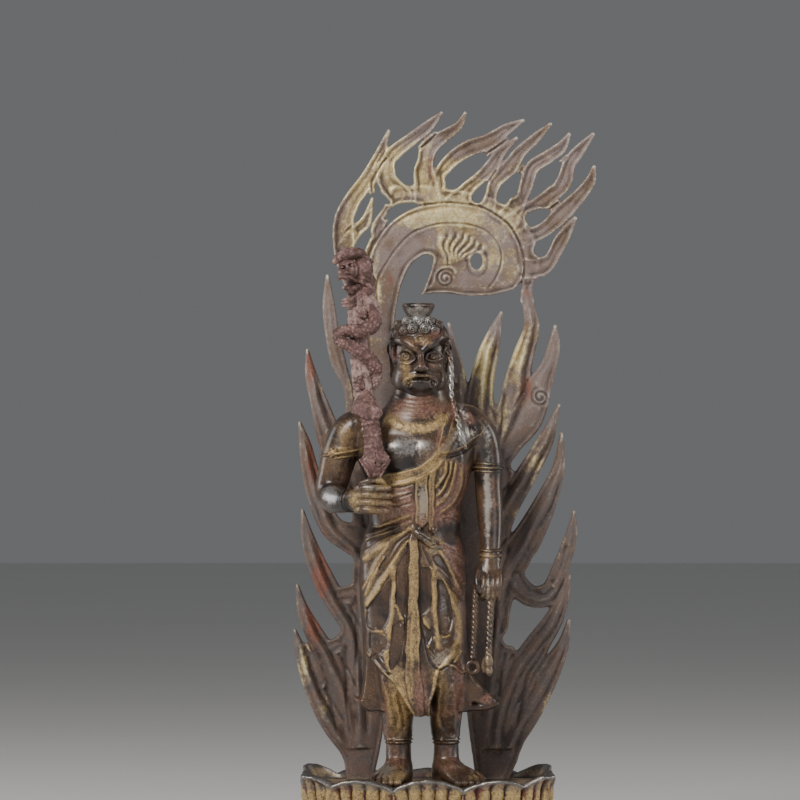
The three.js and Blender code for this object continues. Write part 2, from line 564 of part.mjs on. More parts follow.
function lotusPlinth() {
  const sectors = 60;
  const stepSectors = 24;
  const levels = [
    { z: -LOTUS_HEIGHT, grow: 0.72, flat: true },
    { z: -30, grow: 0.86 },
    { z: -12, grow: 0.97 },
    { z: 0, grow: 1.0, rim: true },
  ];
  const rings = levels.map(({ z, grow, flat, rim }) => Array.from({ length: sectors }, (_, s) => {
    const angle = (2 * Math.PI * s) / sectors;
    const { wave, corner, run } = petalWave(angle);
    const rib = Math.cos((2 * Math.PI * RIBS_PER_PETAL * run) / PETAL_PITCH);
    const flare = rim ? 3 + 2 * wave + 5 * corner : 0;
    const swell = flat ? 0 : (rim ? 0 : 1.4 * rib + 3 * wave);
    const [x, y] = planPoint(angle, PLINTH_HALF_WIDTH * grow + swell + flare,
      PLINTH_HALF_DEPTH * grow + swell + flare);
    return new THREE.Vector3(x, y, rim ? z + 9 * wave + 4 * corner : z);
  }));
  const inside = Array.from({ length: sectors }, (_, s) => {
    const angle = (2 * Math.PI * s) / sectors;
    const [x, y] = planPoint(angle, PLINTH_HALF_WIDTH - 3, PLINTH_HALF_DEPTH - 3);
    return new THREE.Vector3(x, y, 0);
  });
  const stepLevels = [[-PLINTH_HEIGHT, 0.95], [14 - PLINTH_HEIGHT, 0.95], [16 - PLINTH_HEIGHT, 0.86],
    [2 - LOTUS_HEIGHT, 0.83]];
  const steps = loft(stepLevels.map(([z, grow]) => Array.from({ length: stepSectors }, (_, s) => {
    const angle = (2 * Math.PI * s) / stepSectors;
    const [x, y] = planPoint(angle, PLINTH_HALF_WIDTH * grow, PLINTH_HALF_DEPTH * grow);
    return new THREE.Vector3(x, y, z);
  })));
  return loft([...rings, inside]).add(steps);
}

function named(name, solid, look) {
  const mesh = solid.getMesh();
  const geometry = new THREE.BufferGeometry();
  geometry.setAttribute('position', new THREE.BufferAttribute(mesh.vertProperties, 3));
  geometry.setIndex(new THREE.BufferAttribute(mesh.triVerts, 1));
  geometry.computeVertexNormals();
  const piece = new THREE.Mesh(geometry, new THREE.MeshStandardMaterial(look));
  piece.name = name;
  piece.position.z = PLINTH_HEIGHT;
  return piece;
}

const LOOKS = {
  halo: { color: 0x8d7d62, roughness: 0.6, metalness: 0.5 },
  figure: { color: 0x2e2420, roughness: 0.35, metalness: 0.6 },
  sword: { color: 0x6e4038, roughness: 0.75, metalness: 0.2 },
  plinth: { color: 0x7a643f, roughness: 0.5, metalness: 0.5 },
};

const statue = new THREE.Group();
const sword = dragonSword();
statue.add(named('lotus_plinth', lotusPlinth(), LOOKS.plinth));
statue.add(named('flame_halo', flameHalo(), LOOKS.halo));
statue.add(named('figure', figure(swordTang(SEAT_GAP + 0.1)), LOOKS.figure));
statue.add(named('dragon_sword', sword, LOOKS.sword));

export default statue;
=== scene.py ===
"""Looks of a standing Acala altar figure: cast, lacquered and gilt, before its flame halo."""
import math

import bmesh
import bpy
import numpy as np
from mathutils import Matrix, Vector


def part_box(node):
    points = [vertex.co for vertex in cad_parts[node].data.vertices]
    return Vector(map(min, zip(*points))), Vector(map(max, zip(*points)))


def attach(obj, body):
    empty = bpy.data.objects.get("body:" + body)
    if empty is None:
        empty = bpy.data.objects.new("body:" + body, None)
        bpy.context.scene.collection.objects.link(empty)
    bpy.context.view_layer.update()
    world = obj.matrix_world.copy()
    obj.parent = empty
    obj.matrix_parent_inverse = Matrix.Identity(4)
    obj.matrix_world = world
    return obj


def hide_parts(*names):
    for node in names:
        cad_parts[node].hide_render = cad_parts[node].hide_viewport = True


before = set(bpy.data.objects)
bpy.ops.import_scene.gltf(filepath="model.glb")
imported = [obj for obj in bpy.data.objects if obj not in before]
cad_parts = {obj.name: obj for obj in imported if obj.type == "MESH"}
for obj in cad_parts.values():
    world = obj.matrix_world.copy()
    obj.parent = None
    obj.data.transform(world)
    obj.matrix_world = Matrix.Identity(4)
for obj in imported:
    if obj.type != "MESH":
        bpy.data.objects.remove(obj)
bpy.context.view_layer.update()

import openvdb
from bpy.props import FloatProperty, FloatVectorProperty, IntProperty, PointerProperty
from mathutils import Vector

bl_info = {
    "name": "Acala altar figure",
    "version": (1, 0, 0),
    "blender": (4, 5, 0),
    "location": "View3D > Sidebar > Acala",
    "description": "Sculpts and finishes the figure, its sword, flame halo and lotus plinth",
    "category": "Object",
}

MM = 0.001
# A distance in millimetres that counts as well outside the clay.
FAR = 40.0
# Height of the plinth's top plate. All sculpting is in millimetres above it.
TOP = float(round(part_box("flame_halo")[0][2] / MM))
# The figure and the halo stop this far above the plate.
CLEAR = 0.35

# Curves and number helpers.


def smooth(knots, count):
    """Rows on a smooth curve through the knots; every column is carried along."""
    rows = np.asarray(knots, float)
    if len(rows) == 2:
        share = np.linspace(0, 1, count)[:, None]
        return rows[0] + (rows[1] - rows[0]) * share
    gap = np.linalg.norm(np.diff(rows[:, :3], axis=0), axis=1) ** 0.5
    at = np.concatenate([[0], np.cumsum(np.maximum(gap, 1e-6))])
    slope = np.gradient(rows, at, axis=0)
    want = np.linspace(0, at[-1], count)
    i = np.clip(np.searchsorted(at, want, "right") - 1, 0, len(rows) - 2)
    h = (at[i + 1] - at[i])[:, None]
    u = (want - at[i])[:, None] / h
    return ((2 * u**3 - 3 * u**2 + 1) * rows[i] + (u**3 - 2 * u**2 + u) * h * slope[i]
            + (3 * u**2 - 2 * u**3) * rows[i + 1] + (u**3 - u**2) * h * slope[i + 1])


def bump(distance, width):
    return np.exp(-(distance / width) ** 2)


def step(low, high, value):
    t = np.clip((value - low) / (high - low), 0, 1)
    return t * t * (3 - 2 * t)


def soft_min(a, b, blend):
    if blend <= 0:
        return np.minimum(a, b)
    h = np.clip(0.5 + 0.5 * (a - b) / blend, 0, 1)
    return a + (b - a) * h - blend * h * (1 - h)


def soft_max(a, b, blend):
    return -soft_min(-a, -b, blend)


# Solid shapes: each has a box and a signed distance, negative inside.


class Shape:
    """A low and a high corner, and a function of x, y and z that gives the distance."""

    def __init__(self, low, high, distance):
        self.low = np.asarray(low, float)
        self.high = np.asarray(high, float)
        self.distance = distance


def ball(centre, radii):
    """A ball of one radius, or an ellipsoid of three."""
    cx, cy, cz = centre
    rx, ry, rz = (radii, radii, radii) if np.isscalar(radii) else radii

    def distance(x, y, z):
        # The usual estimate for an ellipsoid: exact on its surface, close to it nearby.
        u, v, w = x - cx, y - cy, z - cz
        k0 = np.sqrt((u / rx) ** 2 + (v / ry) ** 2 + (w / rz) ** 2)
        k1 = np.sqrt((u / rx**2) ** 2 + (v / ry**2) ** 2 + (w / rz**2) ** 2)
        return k0 * (k0 - 1) / np.maximum(k1, 1e-6)
    reach = np.array([max(rx, ry), max(rx, ry), rz])
    return Shape(np.array(centre) - reach, np.array(centre) + reach, distance)


def roll(knots, count=16, face=(0, -1, 0)):
    """A tapering round or oval limb along smooth knots of x, y, z, half width, half depth."""
    rows = np.asarray([list(k) + [k[3]] if len(k) == 4 else list(k) for k in knots], float)
    rows = smooth(rows, count)
    f = np.asarray(face, float)
    f = f / np.linalg.norm(f)
    most = rows[:, 3:5].max()

    def distance(x, y, z):
        best = np.full(np.broadcast(x, y, z).shape, FAR, np.float32)
        # Each stretch is a capsule whose radii run evenly from one knot to the next.
        for a, b in zip(rows[:-1], rows[1:]):
            reach = max(a[3], a[4], b[3], b[4]) + 4.0
            low = np.minimum(a[:3], b[:3]) - reach
            high = np.maximum(a[:3], b[:3]) + reach
            cuts = [span(axis.ravel(), low[i], high[i]) for i, axis in enumerate((x, y, z))]
            if None in cuts:
                continue
            sx, sy, sz = cuts
            px, py, pz = x[sx, :, :] - a[0], y[:, sy, :] - a[1], z[:, :, sz] - a[2]
            d = b[:3] - a[:3]
            length = max(float(np.linalg.norm(d)), 1e-4)
            d = d / length
            out = f - (f @ d) * d
            out = out / max(float(np.linalg.norm(out)), 1e-4)
            side = np.cross(d, out)
            run = px * d[0] + py * d[1] + pz * d[2]
            t = np.clip(run / length, 0, 1)
            wide_r = a[3] + (b[3] - a[3]) * t
            deep_r = a[4] + (b[4] - a[4]) * t
            w = (px * side[0] + py * side[1] + pz * side[2]) / wide_r
            v = (px * out[0] + py * out[1] + pz * out[2]) / deep_r
            least = np.minimum(wide_r, deep_r)
            u = (run - t * length) / least
            k0 = np.sqrt(u * u + v * v + w * w)
            k1 = np.sqrt((u / least) ** 2 + (v / deep_r) ** 2 + (w / wide_r) ** 2)
            piece = np.where(k1 > 1e-5, k0 * (k0 - 1) / np.maximum(k1, 1e-5), -least)
            best[sx, sy, sz] = np.minimum(best[sx, sy, sz], piece)
        return best
    return Shape(rows[:, :3].min(axis=0) - most, rows[:, :3].max(axis=0) + most, distance)


def outline_distance(points, x, z):
    """Signed distance from x and z to a closed outline, negative inside it."""
    best = np.full(np.broadcast(x, z).shape, 1e6, np.float32)
    odd = np.zeros(best.shape, bool)
    for a, b in zip(points, np.roll(points, -1, axis=0)):
        d = b - a
        t = np.clip(((x - a[0]) * d[0] + (z - a[1]) * d[1]) / max(d @ d, 1e-9), 0, 1)
        best = np.minimum(best, np.hypot(x - a[0] - t * d[0], z - a[1] - t * d[1]))
        crosses = ((a[1] > z) != (b[1] > z)) & (
            x < (b[0] - a[0]) * (z - a[1]) / (b[1] - a[1] + 1e-12) + a[0])
        odd ^= crosses
    return np.where(odd, -best, best)


def slab(corners, front, back):
    """An upright board: a closed outline of x and z between two depths."""
    points = np.asarray(corners, float)

    def distance(x, y, z):
        outline = outline_distance(points, x[:, :, 0], z[0]).astype(np.float32)[:, None, :]
        return soft_max(outline, np.maximum(front - y, y - back), 1.0)
    (x0, z0), (x1, z1) = points.min(axis=0), points.max(axis=0)
    return Shape((x0, front, z0), (x1, back, z1), distance)


def span(values, low, high):
    """The slice of rising values that lie between low and high, or None."""
    inside = np.nonzero((values >= low) & (values <= high))[0]
    if len(inside) == 0:
        return None
    return slice(inside[0], inside[-1] + 1)


def post(levels, swell=None, margin=6.0):
    """An upright oval body: rows of height, centre x, centre y, half width, half depth."""
    rows = np.asarray(levels, float)
    rows = rows[np.argsort(rows[:, 0])]
    fine = smooth(rows, 60)
    fine = fine[np.argsort(fine[:, 0])]
    bottom, top = rows[0, 0], rows[-1, 0]

    def distance(x, y, z):
        flat = z.ravel()
        cx, cy, wide, deep = (np.interp(flat, fine[:, 0], fine[:, i])[None, None, :]
                              for i in range(1, 5))
        u, v = x - cx, y - cy
        if swell is not None:
            grow = swell(np.arctan2(u / wide, -v / deep), z, u, v)
            wide, deep = wide * grow, deep * grow
        k0 = np.sqrt((u / wide) ** 2 + (v / deep) ** 2)
        k1 = np.sqrt((u / wide**2) ** 2 + (v / deep**2) ** 2)
        side = k0 * (k0 - 1) / np.maximum(k1, 1e-6)
        return soft_max(side, np.maximum(bottom - z, z - top), 2.0)
    reach_x, reach_y = rows[:, 3:5].max(axis=0) + margin
    low = [rows[:, 1].min() - reach_x, rows[:, 2].min() - reach_y, bottom]
    high = [rows[:, 1].max() + reach_x, rows[:, 2].max() + reach_y, top]
    return Shape(low, high, distance)


class Clay:
    """A block of modelling clay: a signed distance on a regular grid of small cells."""

    def __init__(self, low, high, cell):
        self.low = np.asarray(low, float)
        self.cell = cell
        self.count = np.ceil((np.asarray(high, float) - self.low) / cell).astype(int) + 1
        self.field = np.full(self.count, FAR, np.float32)

    def window(self, shape, margin):
        """The part of the block near a shape, and its x, y and z."""
        first = np.floor((shape.low - margin - self.low) / self.cell).astype(int)
        last = np.ceil((shape.high + margin - self.low) / self.cell).astype(int) + 1
        first = np.clip(first, 0, self.count)
        last = np.clip(last, 0, self.count)
        if (last <= first).any():
            return None
        axes = [(self.low[i] + self.cell * np.arange(first[i], last[i])).astype(np.float32)
                for i in range(3)]
        cut = tuple(slice(a, b) for a, b in zip(first, last))
        return cut, axes[0][:, None, None], axes[1][None, :, None], axes[2][None, None, :]

    def add(self, shape, blend, sign=1):
        """Join a shape to the clay, or with sign -1 cut it out, with a soft blend."""
        found = self.window(shape, blend + 3 * self.cell)
        if found is not None:
            cut, *axes = found
            meet = soft_min if sign > 0 else soft_max
            self.field[cut] = meet(self.field[cut], sign * shape.distance(*axes), blend)

    def carve(self, shape, blend):
        self.add(shape, blend, -1)

    def axes(self):
        """The clay's x, y and z, each shaped to spread over the block."""
        x, y, z = (np.arange(self.count[i], dtype=np.float32) * self.cell + self.low[i]
                   for i in range(3))
        return x[:, None, None], y[None, :, None], z[None, None, :]

    def soften(self, times):
        """Smooth the clay as with a wet finger, so joined forms flow into one another."""
        f = self.field
        for _ in range(times):
            for axis in range(3):
                inner = [slice(None)] * 3
                low, high = list(inner), list(inner)
                inner[axis], low[axis], high[axis] = slice(1, -1), slice(0, -2), slice(2, None)
                f[tuple(inner)] = 0.5 * f[tuple(inner)] + 0.25 * (f[tuple(low)] + f[tuple(high)])

    def skin(self):
        """Points in millimetres, and triangles and quads, of the clay's surface."""
        self.field[[0, -1], :, :] = FAR
        self.field[:, [0, -1], :] = FAR
        self.field[:, :, [0, -1]] = FAR
        grid = openvdb.FloatGrid(FAR)
        grid.copyFromArray(np.ascontiguousarray(np.clip(self.field, -3, 3)), tolerance=0.0)
        points, triangles, quads = grid.convertToPolygons(isovalue=0.0, adaptivity=0.0)
        return points * self.cell + self.low, triangles, quads


# Meshes.


def build_mesh(name, points, triangles, quads, budget):
    """A Blender object in metres with at most about budget triangles, smooth shaded."""
    mesh = bpy.data.meshes.new(name)
    corners = np.concatenate([quads.ravel(), triangles.ravel()]).astype(np.int32)
    totals = np.concatenate([np.full(len(quads), 4), np.full(len(triangles), 3)]).astype(np.int32)
    starts = np.concatenate([[0], np.cumsum(totals)[:-1]]).astype(np.int32)
    mesh.vertices.add(len(points))
    mesh.vertices.foreach_set("co", ((points + [0, 0, TOP]) * MM).astype(np.float32).ravel())
    mesh.loops.add(len(corners))
    mesh.loops.foreach_set("vertex_index", corners)
    mesh.polygons.add(len(totals))
    mesh.polygons.foreach_set("loop_start", starts)
    mesh.polygons.foreach_set("loop_total", totals)
    mesh.update(calc_edges=True)
    mesh.validate()
    piece = bpy.data.objects.new(name, mesh)
    bpy.context.scene.collection.objects.link(piece)
    faces = len(quads) * 2 + len(triangles)
    if faces > budget:
        thin = piece.modifiers.new("thin", "DECIMATE")
        thin.ratio = budget / faces
        thin.use_collapse_triangulate = True
        graph = bpy.context.evaluated_depsgraph_get()
        lighter = bpy.data.meshes.new_from_object(piece.evaluated_get(graph))
        piece.modifiers.clear()
        piece.data = lighter
        bpy.data.meshes.remove(mesh)
        lighter.name = name
    drop_crumbs(piece)
    piece.data.polygons.foreach_set("use_smooth", np.ones(len(piece.data.polygons), bool))
    piece.data.update()
    return piece


def drop_crumbs(piece):
    """Keep only the largest connected skin, so no loose specks are left."""
    work = bmesh.new()
    work.from_mesh(piece.data)
    work.verts.ensure_lookup_table()
    seen = np.zeros(len(work.verts), bool)
    groups = []
    for start in work.verts:
        if seen[start.index]:
            continue
        stack, group = [start], []
        seen[start.index] = True
        while stack:
            vertex = stack.pop()
            group.append(vertex)
            for edge in vertex.link_edges:
                other = edge.other_vert(vertex)
                if not seen[other.index]:
                    seen[other.index] = True
                    stack.append(other)
        groups.append(group)
    groups.sort(key=len)
    loose = [vertex for group in groups[:-1] for vertex in group]
    bmesh.ops.delete(work, geom=loose, context="VERTS")
    work.to_mesh(piece.data)
    work.free()


def vectors(piece, kind):
    flat = np.empty(len(piece.data.vertices) * 3, np.float32)
    piece.data.vertices.foreach_get(kind, flat)
    return flat.reshape(-1, 3)


def positions(piece):
    """The piece's points in millimetres above the plinth's top plate."""
    return vectors(piece, "co") / MM - [0, 0, TOP]


def stain(piece, name, values):
    """Store one number for each point, for the piece's material to read."""
    layer = piece.data.attributes.new(name, "FLOAT", "POINT")
    layer.data.foreach_set("value", np.asarray(values, np.float32))


def relief(piece, fine, broad, fine_scale, broad_scale):
    """Store how far each point stands out from its near and its wider surroundings."""
    at = positions(piece)
    out = vectors(piece, "normal")
    ends = np.empty(len(piece.data.edges) * 2, np.int32)
    piece.data.edges.foreach_get("vertices", ends)
    a, b = ends.reshape(-1, 2).T
    degree = np.maximum(np.bincount(np.concatenate([a, b]), minlength=len(at)), 1)[:, None]
    calm = at.copy()
    for turn in range(1, broad + 1):
        total = np.empty_like(calm)
        for axis in range(3):
            total[:, axis] = (np.bincount(a, calm[b, axis], len(at))
                              + np.bincount(b, calm[a, axis], len(at)))
        calm = 0.5 * calm + 0.5 * total / degree
        if turn == fine:
            stain(piece, "edge", np.clip(((at - calm) * out).sum(axis=1) / fine_scale, -1, 1))
    stain(piece, "height", np.clip(((at - calm) * out).sum(axis=1) / broad_scale, -1, 1))


def dress(piece, node, material):
    """The piece stands for its node, rides with the whole and wears its material."""
    piece.data.materials.clear()
    piece.data.materials.append(material)
    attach(piece, "root")
    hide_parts(node)


# Shader arithmetic.


class Wire:
    """A shader value that takes part in Python arithmetic by adding Math nodes."""

    def __init__(self, paint, socket):
        self.paint = paint
        self.socket = socket

    def math(self, operation, *values, clamp=False):
        settings = {"operation": operation, "use_clamp": clamp}
        return self.paint.node("ShaderNodeMath", settings, dict(enumerate(values)))

    def __add__(self, other):
        return self.math("ADD", self, other)

    def __sub__(self, other):
        return self.math("SUBTRACT", self, other)

    def __rsub__(self, other):
        return self.math("SUBTRACT", other, self)

    def __mul__(self, other):
        return self.math("MULTIPLY", self, other)

    __radd__ = __add__
    __rmul__ = __mul__

    def between(self, low, high):
        """0 below low, 1 above high, with an even rise between them."""
        return self.paint.node("ShaderNodeMapRange", {"interpolation_type": "SMOOTHSTEP"},
                               {"Value": self, "From Min": low, "From Max": high})

    def held(self):
        return self.math("ADD", self, 0.0, clamp=True)


class Paint:
    """One material being mixed: every node comes from the method called node."""

    def __init__(self, name):
        self.material = bpy.data.materials.new(name)
        self.material.use_nodes = True
        self.tree = self.material.node_tree
        self.tree.nodes.clear()
        self.place = self.node("ShaderNodeTexCoord", {}, {}, "Object")

    def node(self, kind, settings, inputs, output=0):
        made = self.tree.nodes.new(kind)
        for key, value in settings.items():
            setattr(made, key, value)
        for key, value in inputs.items():
            socket = made.inputs[key]
            if isinstance(value, Wire):
                self.tree.links.new(value.socket, socket)
            else:
                socket.default_value = value
        return Wire(self, None if output is None else made.outputs[output])

    def noise(self, size_mm, detail, rough, warp=0.0):
        return self.node("ShaderNodeTexNoise", {}, {
            "Vector": self.place, "Scale": 1.0 / (size_mm * MM), "Detail": detail,
            "Roughness": rough, "Distortion": warp})

    def cells(self, size_mm):
        inputs = {"Vector": self.place, "Scale": 1.0 / (size_mm * MM)}
        return self.node("ShaderNodeTexVoronoi", {}, inputs, "Distance")

    def mark(self, name):
        return self.node("ShaderNodeAttribute", {"attribute_name": name}, {}, "Fac")

    def mix(self, factor, first, second):
        return self.node("ShaderNodeMix", {"data_type": "RGBA"},
                         {0: factor, 6: colour(first), 7: colour(second)}, 2)

    def bump(self, height, depth_mm, strength, under=None):
        inputs = {"Height": height, "Distance": depth_mm * MM, "Strength": strength}
        if under is not None:
            inputs["Normal"] = under
        return self.node("ShaderNodeBump", {}, inputs)

    def finish(self, sockets):
        shader = self.node("ShaderNodeBsdfPrincipled", {}, sockets)
        self.node("ShaderNodeOutputMaterial", {}, {"Surface": shader}, None)
        return self.material


def colour(value):
    if isinstance(value, Wire):
        return value
    return (*value[:3], 1.0)


# Drawing on the x-z plane: outlines, ridges and grooves that the front of a piece takes on.


WHOLE = (slice(None), slice(None))


class Sheet:
    """A board over x and z. Its value is a height in millimetres towards the front."""

    def __init__(self, low, high, cell):
        self.low = np.asarray(low, float)
        self.cell = cell
        self.count = np.ceil((np.asarray(high, float) - self.low) / cell).astype(int) + 1
        self.value = np.zeros(self.count, np.float32)

    def axes(self, cut=WHOLE):
        x = (self.low[0] + self.cell * np.arange(self.count[0]))[cut[0]]
        z = (self.low[1] + self.cell * np.arange(self.count[1]))[cut[1]]
        return x.astype(np.float32)[:, None], z.astype(np.float32)[None, :]

    def window(self, points, margin):
        low = (points[:, :2].min(axis=0) - margin - self.low) / self.cell
        high = (points[:, :2].max(axis=0) + margin - self.low) / self.cell
        first = np.clip(np.floor(low).astype(int), 0, self.count)
        last = np.clip(np.ceil(high).astype(int) + 1, 0, self.count)
        return slice(first[0], last[0]), slice(first[1], last[1])

    def near(self, knots, margin, count=24):
        """Window, distance to the curve, share along it, and the curve's further columns."""
        rows = smooth([[k[0], k[1], 0, *k[2:]] for k in knots], count)
        cut = self.window(rows, margin)
        x, z = self.axes(cut)
        shape = np.broadcast(x, z).shape
        best = np.full(shape, 1e6, np.float32)
        share = np.zeros(shape, np.float32)
        extra = np.zeros((rows.shape[1] - 3, *shape), np.float32)
        for i, (a, b) in enumerate(zip(rows[:-1], rows[1:])):
            d = b[:2] - a[:2]
            t = np.clip(((x - a[0]) * d[0] + (z - a[1]) * d[1]) / max(d @ d, 1e-9), 0, 1)
            away = np.hypot(x - a[0] - t * d[0], z - a[1] - t * d[1])
            closer = away < best
            best = np.where(closer, away, best)
            share = np.where(closer, (i + t) / (len(rows) - 1), share)
            for c in range(len(extra)):
                extra[c] = np.where(closer, a[3 + c] + (b[3 + c] - a[3 + c]) * t, extra[c])
        return cut, best, share, extra

    def line(self, knots, width, rise, ends, count):
        """A rounded ridge, or with a negative rise a groove, along smooth knots of x and z."""
        cut, away, share, extra = self.near(knots, 3 * width, count)
        reach = width * (extra[0] if len(extra) else 1.0)
        fade = step(0, ends, share) * step(0, ends, 1 - share)
        self.value[cut] += rise * fade * bump(away, np.maximum(reach, 0.05))

    def inside(self, corners, cut=WHOLE):
        """Signed distance to a closed outline, negative inside it."""
        return outline_distance(np.asarray(corners, float), *self.axes(cut))

    def panel(self, corners, rise, soft, count):
        """A flat field inside a closed outline, raised or sunk, with a soft edge."""
        points = np.asarray(corners, float)
        if count:
            loop = smooth([[p[0], p[1], 0] for p in [*corners, corners[0]]], count)
            points = loop[:-1, :2]
        cut = self.window(points, 3 * soft)
        self.value[cut] += rise * (1 - step(-soft, soft, self.inside(points, cut)))

    def cells(self, values, axis):
        """The cell that each value lies in, and the share of the way across it."""
        at = (np.ravel(values) - self.low[axis]) / self.cell
        at = np.clip(at, 0, self.count[axis] - 1.001)
        return at.astype(int), at - at.astype(int)

    def at(self, x, z):
        """The board's value at x and z, two arrays of points in millimetres."""
        (i, p), (k, q) = self.cells(x, 0), self.cells(z, 1)
        v = self.value
        return (v[i, k] * (1 - p) * (1 - q) + v[i + 1, k] * p * (1 - q)
                + v[i, k + 1] * (1 - p) * q + v[i + 1, k + 1] * p * q)

    def waver(self, seed, size, reach):
        """Let every line on the board wander a little, as a hand would draw it."""
        x, z = self.axes()
        across = x + reach * wander(seed, size, x, z)
        up = z + reach * wander(seed + 1, size, x, z)
        self.value = self.at(across, up).reshape(self.value.shape).astype(np.float32)

    def over(self, x, z):
        """The board's value over a regular window given by its x and z axes."""
        (i, p), (k, q) = self.cells(x, 0), self.cells(z, 1)
        p = p[:, None]
        rows = self.value[i] * (1 - p) + self.value[i + 1] * p
        return (rows[:, k] * (1 - q) + rows[:, k + 1] * q)[:, None, :].astype(np.float32)


# The smooth curve through random heights keeps this share of their spread along each axis.
EVENED = 0.69


def wander(seed, size, *axes):
    """A smooth irregular value of about -1 to 1: random heights on a lattice of this size."""
    rows = [(np.ravel(axis) - np.ravel(axis)[0]) / size for axis in axes]
    value = np.random.default_rng(seed).normal(size=[int(row[-1]) + 5 for row in rows])
    value = (value * 0.5 / EVENED ** len(rows)).astype(np.float32)
    for row in rows:
        at = np.floor(row).astype(int)
        f = row - at
        spread = np.zeros((len(row), value.shape[0]), np.float32)
        for k, share in enumerate(((1 - f) ** 3, 3 * f**3 - 6 * f**2 + 4,
                                   -3 * f**3 + 3 * f**2 + 3 * f + 1, f**3)):
            spread[np.arange(len(row)), at + k] = share / 6
        value = np.tensordot(value, spread, axes=([0], [1]))
    return value


# Flame halo: an upright relief plate, clipped at the point of its rightmost flame.

RIGHT_TIP = 134.45
HALO_BOARD = (-112, -2), (139, 538)
# Flame tongues from root to tip: x, height, half width.
CREST_TONGUES = [
    [(-40, 372, 7), (-57, 395, 8), (-66, 421, 8), (-67, 447, 7.5), (-59, 465, 6.5), (-48, 480, 6),
     (-39, 497, 4.8), (-31, 519, 1.2)],
    [(-66, 424, 6), (-59, 436, 5), (-50, 446, 4.2), (-44, 465, 1.2)],
    [(-44, 421, 6), (-38, 445, 4.8), (-31, 456, 4.2), (-24, 468, 6)],
    [(-22, 466, 9), (-33, 482, 7.5), (-28, 499, 6), (-13, 512, 5), (1, 523, 4.2), (11, 533, 1.3)],
    [(0, 465, 10), (-3, 490, 7.5), (2, 506, 6.5), (15, 516, 4.6), (25, 523, 3.2), (30, 533, 1.3)],
    [(6, 468, 6), (14, 490, 5.5), (31, 504, 6.3), (48, 510, 6), (63, 520, 4.4), (76, 527, 1.5)],
    [(20, 458, 8), (39, 479, 5.6), (50, 489, 5.4), (58, 501, 4.2), (71, 513, 1.4)],
    [(44, 452, 8), (53, 477, 5.4), (66, 490, 6), (74, 502, 4.8), (86, 513, 4), (98, 524, 1.5)],
    [(62, 444, 8), (78, 474, 5.6), (84, 490, 5.4), (96, 498, 5.2), (107, 506, 4.4), (113, 516, 1.5)],
    [(62, 440, 8), (94, 464, 6), (108, 477, 6.2), (113, 492, 5.2), (120, 502, 4.8), (132, 516, 1.5)],
    [(72, 432, 7), (93, 440, 5.6), (107, 453, 6.6), (121, 467, 5.4), (130, 479, 4), (133, 490, 1.5)],
    [(70, 409, 8), (91, 410, 7), (102, 424, 6), (110, 437, 4.6), (118, 449, 1.4)],
]
SIDE_TONGUES = [
    [(-54, 250, 9), (-61, 284, 5), (-63, 312, 3.6), (-71, 334, 5.8), (-76, 357, 5.6), (-79, 381, 4.6),
     (-80, 403, 1.3)],
    [(-62, 240, 14), (-77, 272, 10), (-86, 300, 7), (-93, 324, 4.6), (-96, 344, 1.2)],
    [(-58, 192, 12), (-76, 202, 9), (-88, 228, 8), (-94, 249, 6.4), (-98, 269, 4.6), (-102, 286, 1.2)],
    [(-54, 70, 11), (-62, 112, 10), (-74, 142, 9), (-88, 172, 7.4), (-96, 195, 5), (-100, 216, 1.2)],
    [(-56, 30, 10), (-67, 67, 11), (-80, 98, 8.6), (-93, 122, 6.6), (-100, 138, 4.4), (-104, 156, 1.2)],
    [(-62, 24, 7), (-78, 47, 8), (-92, 76, 7), (-101, 102, 4.8), (-106, 120, 1.2)],
    [(24, 290, 6), (26, 318, 5), (22, 342, 3.2), (17, 365, 1.1)],
    [(50, 262, 16), (42, 301, 11), (44, 322, 9.2), (49, 343, 7.6), (54, 359, 5), (59, 374, 1.2)],
    [(58, 268, 14), (68, 300, 11), (72, 321, 9.6), (77, 341, 8), (83, 361, 6.2), (81, 378, 4.6),
     (79, 390, 4)],
    [(60, 268, 12), (80, 290, 12), (89, 314, 9.6), (97, 332, 6.2), (101, 348, 4.8), (102, 363, 1.3)],
    [(50, 190, 12), (62, 216, 9.6), (78, 243, 8.2), (94, 271, 6.2), (105, 300, 1.2)],
    [(48, 120, 14), (58, 160, 14), (80, 194, 11.5), (96, 226, 8.2), (105, 251, 4.8), (107, 277, 1.3)],
    [(62, 168, 9), (83, 147, 8.4), (98, 150, 8.6), (107, 172, 6.4), (115, 196, 4.8), (117, 215, 1.3)],
    [(58, 52, 11), (72, 84, 10.5), (86, 106, 9.6), (101, 129, 7.2), (109, 147, 4.6), (113, 163, 1.3)],
    [(60, 26, 10), (74, 44, 10), (88, 68, 9.6), (101, 93, 7.6), (109, 110, 4.6), (113, 128, 1.3)],
]
BODY_MASSES = [
    [(-54, 0, 10), (-53, 28, 15), (-52, 70, 19), (-46, 130, 17), (-40, 190, 18), (-38, 250, 24),
     (-36, 300, 18), (-36, 350, 14)],
    [(51, 0, 12.5), (55, 30, 20), (52, 80, 22), (44, 130, 18), (40, 190, 22), (42, 250, 24), (40, 290, 14)],
    [(0, 122, 30), (2, 180, 44), (2, 240, 46), (2, 292, 34)],
]
MANE = [(-34, 466, 4), (-14, 466, 8.5), (13, 464, 8.5), (38, 459, 8.5), (59, 450, 9), (73, 434, 9),
    (80, 414, 9), (80, 398, 4)]
LINK = [(79, 384, 4.2), (79.5, 391, 2.6), (80, 402, 5)]
